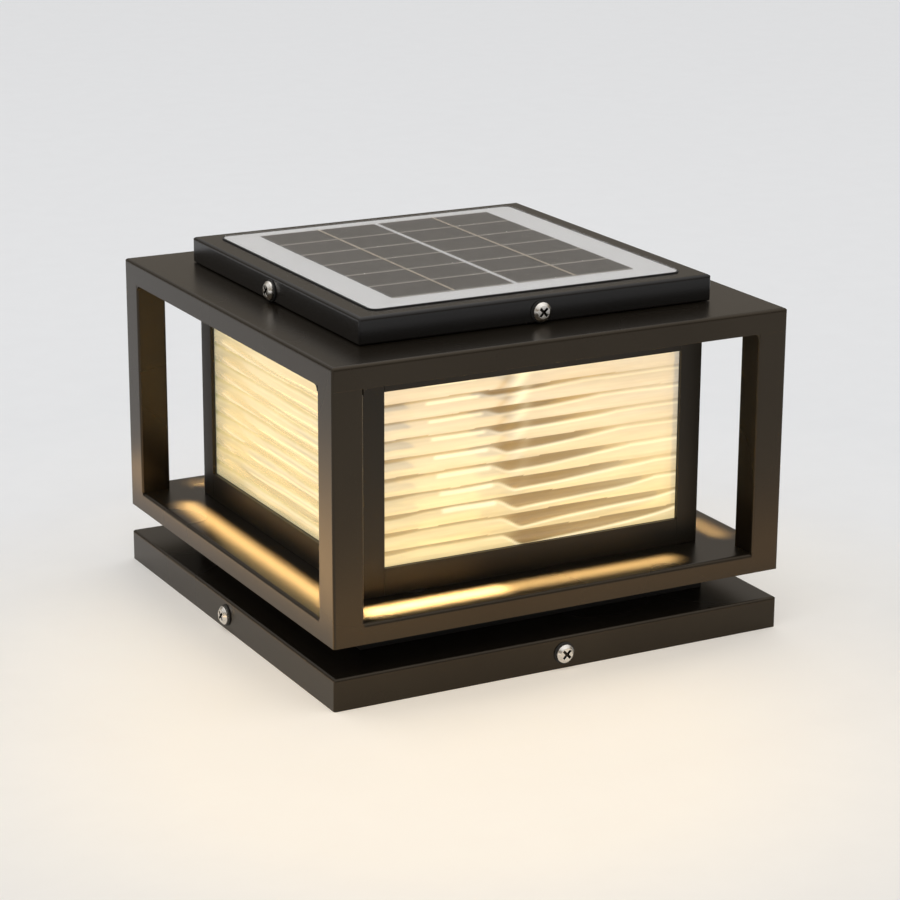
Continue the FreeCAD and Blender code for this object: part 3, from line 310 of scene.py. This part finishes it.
def solar_cell():
    """Dark silicon with its fine finger lines, and the pale lines between its rows and
    its two columns."""
    rows, row_gap = 6, 0.0008
    finger_pitch = 0.0021
    line_edges = (0.030, 0.048)             # of the row lines, in parts of a row
    middle_edges = (0.0011, 0.0014)         # of the middle line, in metres
    g = Graph("solar_cell_look")
    x, y, _ = g.axes()
    grain = g.node("ShaderNodeTexVoronoi", 1, Vector=g.stretch(160.0, 160.0, 160.0), Scale=1.0)
    tone = g.mix(g.node_outputs("ShaderNodeSeparateColor", grain)[0],
                 (0.071, 0.069, 0.069), (0.091, 0.088, 0.086))
    wave = g.math("SINE", g.math("MULTIPLY", x, 2 * math.pi / finger_pitch))
    tone = g.mix(g.span(wave, 0.93, 0.99, 0.0, 0.35), tone, (0.20, 0.19, 0.175))
    low, high = (corner.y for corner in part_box("solar_cells"))
    row = g.math("DIVIDE", g.math("SUBTRACT", y, low - row_gap / 2), (high - low + row_gap) / rows)
    away = g.math("SUBTRACT", g.math("FRACT", g.math("ADD", row, 0.5)), 0.5)
    away = g.math("ABSOLUTE", away)
    tone = g.mix(g.span(away, *line_edges, 0.9, 0.0), tone, (0.50, 0.47, 0.43))
    tone = g.mix(g.span(g.math("ABSOLUTE", x), *middle_edges, 0.95, 0.0), tone, (0.80, 0.80, 0.80))
    return g.finish(g.principled(Base_Color=tone, Roughness=0.32))


def clear_resin():
    """Thin resin over the panel: nearly all clear, with a faint uneven gloss."""
    gloss = 0.10
    tint = (0.97, 0.97, 0.97)
    g = Graph("clear_resin_look")
    haze = g.span(g.noise(35.0, 4.0, 0.6), 0.3, 0.7, 0.05, 0.12)
    resin = g.principled(Base_Color=(0.99, 0.99, 0.985), Roughness=haze, IOR=1.42,
                         Transmission_Weight=1.0, Normal=g.bump(g.noise(28.0), 0.00006))
    film = g.mix_shaders(gloss, g.node("ShaderNodeBsdfTransparent", Color=tint), resin)
    return g.finish(g.let_lamps_through(film, tint))


def board(name, base, trace):
    """Circuit board with its copper runs under the lacquer."""
    g = Graph(name)
    lines = g.node("ShaderNodeTexBrick", 1, Vector=g.place, Scale=160.0)
    tone = g.mix(g.math("MULTIPLY", lines, 0.6), base, trace)
    return g.finish(g.principled(Base_Color=tone, Roughness=0.4, Normal=g.bump(lines, 0.00002)))


def battery_wrap():
    """Shrink sleeve with faint creases."""
    g = Graph("battery_wrap_look")
    tone = g.mix(g.noise(60.0, 3.0), (0.03, 0.16, 0.30), (0.04, 0.20, 0.36))
    normal = g.bump(g.noise(300.0, 3.0, 0.6, g.stretch(0.2, 1, 1)), 0.00003)
    return g.finish(g.principled(Base_Color=tone, Roughness=0.3, Normal=normal))


looks = {
    "bracket_steel": metal("bracket_steel_look", (0.42, 0.42, 0.41), (0.30, 0.30, 0.30), 0.42,
                           400.0),
    "bronze_paint": satin_paint("bronze_paint_look", (0.042, 0.033, 0.0225), (0.036, 0.028, 0.019),
                                0.80, 0.27),
    "neck_paint": satin_paint("neck_paint_look", (0.014, 0.013, 0.012), (0.010, 0.010, 0.010),
                              0.2, 0.42),
    "frame_paint": satin_paint("frame_paint_look", (0.022, 0.017, 0.010), (0.017, 0.013, 0.0075),
                               0.5, 0.36),
    "lid_paint": satin_paint("lid_paint_look", (0.017, 0.0158, 0.0152), (0.0145, 0.0136, 0.0132),
                             0.45, 0.21, wear=(0.12, 0.10, 0.08)),
    "ribbed_glass": ribbed_glass(),
    "rubber": plastic("rubber_look", (0.014, 0.014, 0.014), 0.62),
    "bright_steel": metal("bright_steel_look", (0.80, 0.77, 0.72), (0.70, 0.67, 0.63), 0.22),
    "black_plastic": plastic("black_plastic_look", (0.020, 0.020, 0.021), 0.48),
    "switch_red": plastic("switch_red_look", (0.42, 0.03, 0.02), 0.38),
    "lamp_aluminium": metal("lamp_aluminium_look", (0.75, 0.75, 0.74), (0.60, 0.60, 0.60), 0.33),
    "white_board": plastic("white_board_look", (0.76, 0.77, 0.785), 0.42, 600.0, 0.00001, 0.03),
    "led_yellow": chip_glow(),
    "lamp_frost": lamp_glow(),
    "white_paint": plastic("white_paint_look", (0.78, 0.76, 0.72), 0.5, 900.0, 0.00002, 0.03),
    "battery_wrap": battery_wrap(),
    "green_board": board("green_board_look", (0.015, 0.10, 0.045), (0.03, 0.17, 0.08)),
    "board_parts": plastic("board_parts_look", (0.05, 0.05, 0.055), 0.4),
    "solar_cell": solar_cell(),
    "ribbon": metal("ribbon_look", (0.80, 0.74, 0.64), (0.62, 0.56, 0.47), 0.35),
    "clear_resin": clear_resin(),
}

slot_of = {}
for name, thing in nodes.items():
    slot_of[name] = thing.data.materials[0].name.split(".")[0]
    thing.material_slots[0].link = "OBJECT"
    thing.material_slots[0].material = looks[slot_of[name]]


# ------------------------------------------------------------------ pieces
def add_piece(name, mesh, body, slot, replaced):
    """Puts a finished mesh in the place of a CAD node."""
    piece = bpy.data.objects.new(name, mesh)
    bpy.context.scene.collection.objects.link(piece)
    piece.data.materials.clear()
    piece.data.materials.append(looks[slot])
    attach(piece, body)
    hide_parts(replaced)
    return piece


def shade(mesh, angle=34.0):
    """Smooth shading over soft edges and sharp ones kept."""
    for face in mesh.polygons:
        face.use_smooth = True
    mesh.set_sharp_from_angle(angle=math.radians(angle))


def weigh(piece):
    """Keeps broad faces flat where they meet a rounded edge."""
    tool = piece.modifiers.new("weigh", "WEIGHTED_NORMAL")
    tool.keep_sharp = True
    tool.weight = 60


# ------------------------------------------------------------------ rounded edges
# Radii in millimetres. The tube posts' corners are round in the CAD.
edge_radii = {
    "base_tray": 0.35, "neck_riser": 0.3, "cage_sill": 0.35, "cage_head": 0.35, "lid_shell": 0.3,
    "panel_cover": 0.3, "junction_box": 0.3, "ceiling_pan": 0.3, "battery_bay": 0.4,
    "battery_holder": 0.3, "mounting_bracket": 0.3, "lid_brackets": 0.25, "switch_housing": 0.3,
    "switch_nut": 0.3, "base_screws": 0.22, "lid_screws": 0.22, "base_screw_nuts": 0.3,
    "lid_screw_nuts": 0.3, "base_screw_washers": 0.15, "lid_screw_washers": 0.15,
    "switch_button": 0.15, "switch_seal": 0.1, "lamp_tube": 0.3, "lamp_base": 0.3,
    "battery_cells": 0.4,
}
for corner in ("front_left", "front_right", "back_right", "back_left"):
    edge_radii["lantern_corner_" + corner] = 0.3
for side in sides:
    edge_radii["lantern_sill_rail_" + side] = 0.3
    edge_radii["lantern_head_rail_" + side] = 0.3
edge_steps = 2
sharp_angle = 30.0           # edges bent more than this get a radius
flat_angle = 0.4             # faces within this angle are one face
narrow_width = 1.3           # in radii: faces narrower than this lie on an edge
merge_distance = 0.000002
cover_lift = 0.04            # millimetres between the panel's cover and its board
cover_crown = 0.0004         # metres of the cover's top that stay where they are

# The side screws and the cross recesses in their heads, in metres
screw_reach = 0.05           # from the light's middle, at least
screw_aside = 0.01           # from the screw's axis, at most
head_depth = 0.002           # of the head, below its crown
recess_depths = (0.00015, 0.0019)
recess_radius = 0.0029


def mark_recesses(work, recess_shade):
    """Marks the faces down in the side screws' cross recesses, for painted shade."""
    for turn in range(len(sides)):
        out, along = directions(turn)
        near = [face for face in work.faces if face.calc_center_median().dot(out) > screw_reach
                and abs(face.calc_center_median().dot(along)) < screw_aside]
        if not near:
            continue
        corners = [vertex.co for face in near for vertex in face.verts]
        crown = max(co.dot(out) for co in corners)
        head = [co.z for co in corners if crown - co.dot(out) < head_depth]
        middle = (min(head) + max(head)) / 2
        for face in near:
            centre = face.calc_center_median()
            deep = crown - centre.dot(out)
            off = math.hypot(centre.dot(along), centre.z - middle)
            if recess_depths[0] < deep < recess_depths[1] and off < recess_radius:
                for loop in face.loops:
                    loop[recess_shade] = 1.0


def rounded(node, radius):
    """The CAD node's shape with its sharp edges broken by a small radius. The faces made on the
    edges carry the mark "edge", and those under the cage head the mark "lit", where a painted
    highlight goes."""
    work = bmesh.new()
    work.from_mesh(nodes[node].data)
    bmesh.ops.remove_doubles(work, verts=work.verts, dist=merge_distance)
    bmesh.ops.dissolve_limit(work, angle_limit=math.radians(flat_angle), verts=work.verts,
                             edges=work.edges)
    mark = work.loops.layers.float.new("edge")
    # Mark for the painted highlight on the cage head's lower edges
    lit = work.loops.layers.float.new("lit") if node == "cage_head" else None
    # Mark for painted shade in the side screws' recesses
    recess_shade = work.loops.layers.float.new("recess_shade") if node.endswith("_screws") else None
    crease = [edge for edge in work.edges if len(edge.link_faces) == 2
              and edge.calc_face_angle(0.0) > math.radians(sharp_angle)]
    made = bmesh.ops.bevel(work, geom=crease, offset=radius * MM, segments=edge_steps, profile=0.5,
                           affect="EDGES", clamp_overlap=True, loop_slide=True, material=-1)
    work.normal_update()
    for face in made["faces"]:
        narrow = 2 * face.calc_area() < narrow_width * radius * MM * face.calc_perimeter()
        for loop in face.loops:
            loop[mark] = 1.0 if narrow else 0.0
            if lit is not None:
                loop[lit] = 1.0 if narrow and face.normal.z < -0.3 else 0.0
    if recess_shade is not None:
        mark_recesses(work, recess_shade)
    if node == "panel_cover":
        lift_underside(work)
    mesh = bpy.data.meshes.new(node + "_detail")
    work.to_mesh(mesh)
    work.free()
    shade(mesh)
    weigh(add_piece(node + "_detail", mesh, nodes[node]["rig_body"], slot_of[node], node))


def lift_underside(work):
    """Keeps the clear cover's underside just off the board that it covers."""
    crown = max(vertex.co.z for vertex in work.verts)
    for vertex in work.verts:
        if vertex.co.z < crown - cover_crown:
            vertex.co.z += cover_lift * MM


# ------------------------------------------------------------------ glass
# Millimetres, on the front pane. The frame's corners are single precision, so they are
# rounded. The ribs' crests lie in the plane crest_y.
pane_low, pane_high = ([round(part / MM, 3) for part in corner]
                       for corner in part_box("glass_pane_front"))
_, crest_y, pane_bottom = pane_low
pane_half, back_y, pane_top = pane_high
rib_pitch = 9.2
rib_depth = 1.2
first_rib = pane_bottom + 0.85      # foot of the first whole rib
top_rib = 9                  # the uppermost whole rib, counted from 0 at the foot
plain_border = 1.5           # along the pane's edge, where no rib stands proud
pane_columns, pane_rows = 156, 216

# Painted light held in the glass: colours of the panes' emission, for the lamp's light and shade in
# the ribs
cream_high = (0.37, 0.352, 0.315)
cream_low = (0.56, 0.475, 0.27)
cream_far = (0.30, 0.305, 0.30)             # upper right of the pane
cream_calm = (0.30, 0.295, 0.205)           # left and right panes
shade_rich = (0.030, 0.002, 0.0)
shade_calm = (0.10, 0.10, 0.012)
ribbon_shade = (0.16, 0.07, 0.0)
thread_colour = (0.85, 0.78, 0.56)
back_colour = (0.03, 0.02, 0.006)


def soft(value, low, high):
    """0 below low, 1 above high, and a smooth rise between them."""
    part = min(1.0, max(0.0, (value - low) / (high - low)))
    return part * part * (3 - 2 * part)


def blend(a, b, part):
    """Colour between a and b."""
    part = min(1.0, max(0.0, part))
    return tuple(p + (q - p) * part for p, q in zip(a, b))


def hump(value, middle, width, power=2):
    """1 at the middle, falling off to both sides."""
    return math.exp(-((value - middle) / width) ** power)


def cream_at(x, down, fine, rich):
    """Colour of a rib's band of painted light, more golden towards the pane's foot."""
    cream = blend(cream_high, cream_low, soft(down, 0.15, 0.95))
    cream = blend(cream, cream_far, 0.6 * soft(x, 0.0, 60.0) * (1 - down))
    if not rich:
        cream = blend(cream, cream_calm, 0.8)
    return tuple(c * (1 + 0.10 * fine) for c in cream)


def lens_at(x, count, drift):
    """How far open the long painted shade beside the lamp is. It is thick at its left end."""
    start = -32.0 + 1.6 * count + 4 * drift
    end = 26.0 + 6.5 * count + 10 * drift
    along = (x - start) / (end - start)
    return soft(along, 0.0, 0.14) * (1 - along) ** 0.75 if 0 < along < 1 else 0.0


def dash_at(x, under, count):
    """The lamp's painted image in a rib: a short dash, thicker towards the pane's foot."""
    if not 0 <= count <= 7:
        return 0.0
    first = -61.0 + 1.5 * count
    last = -32.0 + 1.6 * count
    ends = soft(x, first - 1.5, first + 1.5) * (1 - soft(x, last - 1.5, last + 1.5))
    return 0.82 * ends * hump(under, 0.25, 0.07 + 0.009 * count, 4)


def painted_glow_at(x, place, down, seed, rich):
    """Colour of the painted light in the glass: cream bands, a painted golden shade under each
    rib's upper edge, and a painted bright thread below it. A pane that is rich also has painted
    long shades to one side of the lamp, the lamp's painted image in each rib and a painted ribbon
    of light over it.
    place counts ribs up the pane, and down goes from 0 at its top to 1 at its foot."""
    row = math.floor(place)
    under = 1.0 - (place - row)
    count = top_rib - row
    fine = noise.noise(Vector((x * 0.018, place * 9.0, seed + 3)))
    drift = noise.noise(Vector((x * 0.02, row * 2.3, seed + 11)))
    lens = lens_at(x, count, drift) if rich else 0.0
    width = 0.10 + 0.05 * drift + (0.12 + 0.072 * max(0, count)) * lens
    width += 0.10 * soft(-x, 58.0, 80.0) * soft(down, 0.2, 0.6)
    dark = 1 - soft(under, width - 0.05, width + 0.09)
    dark *= 0.74 + 0.30 * lens + 0.14 * fine
    dark *= 1 - 0.62 * soft(x, 20.0, 75.0) * (1 - soft(down, 0.5, 0.9))
    shade_tone, strength = (shade_rich, 1.0) if rich else (shade_calm, 0.62)
    colour = blend(cream_at(x, down, fine, rich), shade_tone, dark * strength)
    thread = hump(under, width + 0.13, 0.065) * (0.35 + 0.5 * down) * soft(x, -40.0, 0.0)
    if not rich:
        return blend(colour, thread_colour, 0.4 * thread)
    ribbon = -7.0 + 7.0 * (0.5 - under)
    fading = max(0.0, 1 - 0.14 * max(0, count))
    thread += dash_at(x, under, count)
    thread += 0.75 * fading * hump(x, ribbon, 3.6) * (1 - 0.7 * dark)
    colour = blend(colour, ribbon_shade, 0.45 * fading * hump(x, ribbon - 8.5, 2.6))
    return blend(colour, thread_colour, thread)


def rib_place(x, z, seed):
    """How many ribs up the pane a point is. The ribs wander a little."""
    sway = 0.9 * noise.noise(Vector((x * 0.011, z * 0.03, seed)))
    sway += 0.45 * noise.noise(Vector((x * 0.035, z * 0.09, seed + 7)))
    return (z + sway - first_rib) / rib_pitch


def rib_y(x, z, place, seed):
    """y of the ribbed face: convex ribs that swell a little along the pane."""
    rib = math.floor(place)
    swell = 0.86 + 0.22 * noise.noise(Vector((x * 0.018, rib * 1.7, seed + 19)))
    height = min(1.0, max(0.05, swell)) * (1 - (2 * (place - rib) - 1) ** 2)
    ripple = 0.025 * noise.noise(Vector((x * 0.05, z * 0.25, seed + 31)))
    y = crest_y + rib_depth * (1 - height) - ripple
    y = max(crest_y, min(crest_y + rib_depth + 0.1, y))
    border = min(pane_half - abs(x), z - pane_bottom, pane_top - z)
    return y if border > plain_border else max(y, crest_y + rib_depth / 2)


def glass_pane(side, turn):
    """Pressed glass pane: a fine grid for the ribbed face, and five plain faces."""
    seed = 13.7 * turn + 3.1
    rich = side in ("front", "back")
    points, glow = [], []
    for j in range(pane_rows + 1):
        z = pane_bottom + (pane_top - pane_bottom) * j / pane_rows
        for i in range(pane_columns + 1):
            x = -pane_half + 2 * pane_half * i / pane_columns
            place = rib_place(x, z, seed)
            points.append((x, rib_y(x, z, place, seed), z))
            # Painted light and shade for each point of the ribbed face, and painted dark light for
            # the plain faces
            glow.append(painted_glow_at(x, place, (pane_top - z) / (pane_top - pane_bottom), seed, rich))
    points += [(-pane_half, back_y, pane_bottom), (pane_half, back_y, pane_bottom),
               (pane_half, back_y, pane_top), (-pane_half, back_y, pane_top)]
    glow += [back_colour] * 4

    work = bmesh.new()
    turned = Matrix.Rotation(math.radians(90 * turn), 3, "Z")
    *grid, foot_left, foot_right, top_right, top_left = [
        work.verts.new(turned @ (Vector(point) * MM)) for point in points]
    wide = pane_columns + 1
    for start in range(0, wide * pane_rows, wide):
        for a in range(start, start + pane_columns):
            work.faces.new((grid[a], grid[a + 1], grid[a + 1 + wide], grid[a + wide]))
    work.faces.new((foot_right, foot_left, top_left, top_right))
    work.faces.new([foot_left, foot_right] + grid[:wide][::-1])
    work.faces.new([top_right, top_left] + grid[-wide:])
    work.faces.new([top_left, foot_left] + grid[::wide])
    work.faces.new([foot_right, top_right] + grid[pane_columns::wide][::-1])
    bmesh.ops.recalc_face_normals(work, faces=work.faces)
    mesh = bpy.data.meshes.new("glass_" + side)
    work.to_mesh(mesh)
    work.free()
    mark = mesh.attributes.new("glow", "FLOAT_COLOR", "POINT")
    mark.data.foreach_set("color", [part for colour in glow for part in (*colour, 1.0)])
    shade(mesh, 50.0)
    add_piece("ribbed_pane_" + side, mesh, "lamp", "ribbed_glass", "glass_pane_" + side)


# ------------------------------------------------------------------ studio
# Middle of the painted warm light on the floor, and the floor's colours out from it, which carry
# that painted light. Each list goes from the middle, 0, to the end of its reach, 1.
glow_x, glow_y = -0.099, -0.185
floor_reach = 0.60
floor_tones = ((0.0, (0.93, 0.875, 0.785)), (0.20, (0.92, 0.87, 0.785)),
               (0.33, (0.865, 0.845, 0.805)), (0.50, (0.81, 0.812, 0.81)),
               (0.70, (0.785, 0.806, 0.836)), (1.0, (0.797, 0.818, 0.848)))
near_reach = 0.30            # of the painted light on the floor in front
near_glow = ((0.0, (0.115, 0.085, 0.05)), (0.4, (0.085, 0.062, 0.038)), (1.0, (0.0, 0.0, 0.0)))
foot_reach = 0.40            # of the painted light round the part's foot
foot_glow = ((0.0, (0.16, 0.15, 0.135)), (0.42, (0.15, 0.14, 0.125)),
             (0.62, (0.055, 0.05, 0.045)), (1.0, (0.0, 0.0, 0.0)))
floor_rings = (0.2, 0.5, 1.2, 3.0, 8.0, 20.0)
sky_tones = ((0.0, (0.55, 0.53, 0.50)), (0.25, (0.22, 0.178, 0.122)), (0.55, (0.83, 0.82, 0.81)),
             (1.0, (1.52, 1.50, 1.48)))
sky_strength = 0.92


def floor_look():
    """Pale matt floor: painted warm light near the lamp, cool grey far away, and painted light from
    the lamp in its emission."""
    g = Graph("studio_floor")
    x, y, _ = g.axes()

    def distance(middle_x, middle_y):
        squares = [g.math("POWER", g.math("SUBTRACT", value, middle), 2.0)
                   for value, middle in ((x, middle_x), (y, middle_y))]
        return g.math("SQRT", g.math("ADD", *squares))

    from_glow = distance(glow_x, glow_y)
    # Painted warm light near the middle, in the floor's own colour
    tone = g.ramp(g.span(from_glow, 0.0, floor_reach), *floor_tones)
    speck = g.grey(g.span(g.noise(40.0, 3.0, 0.6), 0.3, 0.7, 0.985, 1.0))
    tone = g.mix(1.0, tone, speck, "MULTIPLY")
    # Painted light round the part's foot and in front, as emission
    painted_light = g.mix(1.0, g.ramp(g.span(distance(0.0, 0.0), 0.0, foot_reach), *foot_glow),
                   g.ramp(g.span(from_glow, 0.0, near_reach), *near_glow), "ADD")
    return g.finish(g.principled(Base_Color=tone, Roughness=0.85, Specular_IOR_Level=0.2,
                                 Emission_Color=painted_light, Emission_Strength=1.0))


def floor():
    """Round floor, made of rings."""
    work = bmesh.new()
    previous = None
    for radius in floor_rings:
        ring = [work.verts.new((radius * math.cos(angle), radius * math.sin(angle), 0.0))
                for angle in map(math.radians, range(0, 360, 5))]
        if previous is None:
            work.faces.new(ring)
        else:
            for i in range(len(ring)):
                work.faces.new((previous[i - 1], ring[i - 1], ring[i], previous[i]))
        previous = ring
    mesh = bpy.data.meshes.new("studio_floor")
    work.to_mesh(mesh)
    work.free()
    sweep = bpy.data.objects.new("studio_floor", mesh)
    sweep.data.materials.append(floor_look())
    bpy.context.scene.collection.objects.link(sweep)


def sky():
    """Soft light from all round: brightest overhead, with a dark band above the horizon
    that the satin tops reflect."""
    world = bpy.data.worlds.new("studio_air")
    bpy.context.scene.world = world
    world.use_nodes = True
    tree = world.node_tree
    tree.nodes.clear()
    out = tree.nodes.new("ShaderNodeOutputWorld")
    air = tree.nodes.new("ShaderNodeBackground")
    place = tree.nodes.new("ShaderNodeTexCoord")
    split = tree.nodes.new("ShaderNodeSeparateXYZ")
    ramp = tree.nodes.new("ShaderNodeValToRGB")
    fill_ramp(ramp.color_ramp, sky_tones)
    tree.links.new(place.outputs["Generated"], split.inputs[0])
    tree.links.new(split.outputs[2], ramp.inputs[0])
    tree.links.new(ramp.outputs[0], air.inputs["Color"])
    air.inputs["Strength"].default_value = sky_strength
    tree.links.new(air.outputs[0], out.inputs["Surface"])


# ------------------------------------------------------------------ lamps
warm = (1.0, 0.74, 0.36)
amber = (1.0, 0.60, 0.22)

# Strips over the cage sill that stand for the light from the panes: shift along the
# side, width and watts. They ride with the lamp.
sill_strips = (((-0.014, 0.172, 0.40), (-0.064, 0.076, 0.54)), ((0.0, 0.190, 0.30),),
               ((0.0, 0.190, 0.30),), ((0.012, 0.190, 0.74),))
sill_strip_out, sill_strip_z = 0.104, 0.062
sill_strip_lean = 0.36       # outwards, for each metre down
sill_strip_depth = 0.005
sill_strip_spread = 40.0

# Strips below the cage head, which light the upper edges of its windows
lip_strip_out, lip_strip_z = 0.119, 0.147
lip_strip_lean = 0.25        # outwards, for each metre up
lip_strip_size = (0.170, 0.004)
lip_strip_power = 0.05
lip_strip_spread = 120.0

# Light on the left face and the front face from the warm floor: place, size and watts
floor_glows = {"left": ((-0.215, 0.08), (0.07, 0.42), 0.26),
               "front": ((0.12, -0.235), (0.46, 0.09), 0.12)}
floor_glow_z = 0.002

lamp_light_z = 0.090         # inside the lamp's tube


def add_lamp(name, data, place):
    """Puts a lamp in the scene, where the camera doesn't see the lamp itself."""
    lamp = bpy.data.objects.new(name, data)
    lamp.location = place
    lamp.visible_camera = False
    lamp.visible_transmission = False
    bpy.context.scene.collection.objects.link(lamp)
    return lamp


def area_light(name, place, aim, size, power, colour, spread=180.0):
    """Rectangular lamp that shines towards aim."""
    data = bpy.data.lights.new(name, "AREA")
    data.shape = "RECTANGLE"
    data.size, data.size_y = size
    data.energy = power
    data.color = colour
    data.spread = math.radians(spread)
    lamp = add_lamp(name, data, place)
    lamp.rotation_mode = "QUATERNION"
    lamp.rotation_quaternion = (Vector(aim) - Vector(place)).to_track_quat("-Z", "Y")
    return lamp


def pane_light(turn, strips):
    """The light that one pane throws on the sill below it and the window's edge above."""
    up = Vector((0, 0, 1))
    out, along = directions(turn)
    for number, (shift, width, power) in enumerate(strips):
        place = out * sill_strip_out + along * shift + up * sill_strip_z
        strip = area_light(f"sill_light_{turn}_{number}", place, place + out * sill_strip_lean - up,
                           (width, sill_strip_depth), power, warm, sill_strip_spread)
        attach(strip, "lamp")
    place = out * lip_strip_out + up * lip_strip_z
    strip = area_light(f"lip_light_{turn}", place, place + out * lip_strip_lean + up,
                       lip_strip_size, lip_strip_power, warm, lip_strip_spread)
    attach(strip, "lamp")


def lights():
    """A large softbox overhead, the lamp and what it throws on its surroundings."""
    area_light("softbox_top", place=(-0.1, 0.3, 1.7), aim=(0, 0, 0.1), size=(1.6, 1.6), power=2.2,
               colour=(1.0, 0.98, 0.95))
    for turn, strips in enumerate(sill_strips):
        pane_light(turn, strips)
    for name, ((x, y), size, power) in floor_glows.items():
        area_light("floor_glow_" + name, (x, y, floor_glow_z), (x, y, 1.0), size, power, amber)
    data = bpy.data.lights.new("lamp_light", "POINT")
    data.energy = 0.5
    data.color = (1.0, 0.76, 0.40)
    data.shadow_soft_size = 0.014
    lamp = add_lamp("lamp_light", data, (0, 0, lamp_light_z))
    lamp.visible_glossy = False
    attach(lamp, "lamp")


# ------------------------------------------------------------------ the scene
for turn, side in enumerate(sides):
    glass_pane(side, turn)
for node, radius in edge_radii.items():
    rounded(node, radius)

camera()
floor()
sky()
lights()
scene = bpy.context.scene
scene.view_settings.view_transform = "Standard"
scene.view_settings.look = "None"
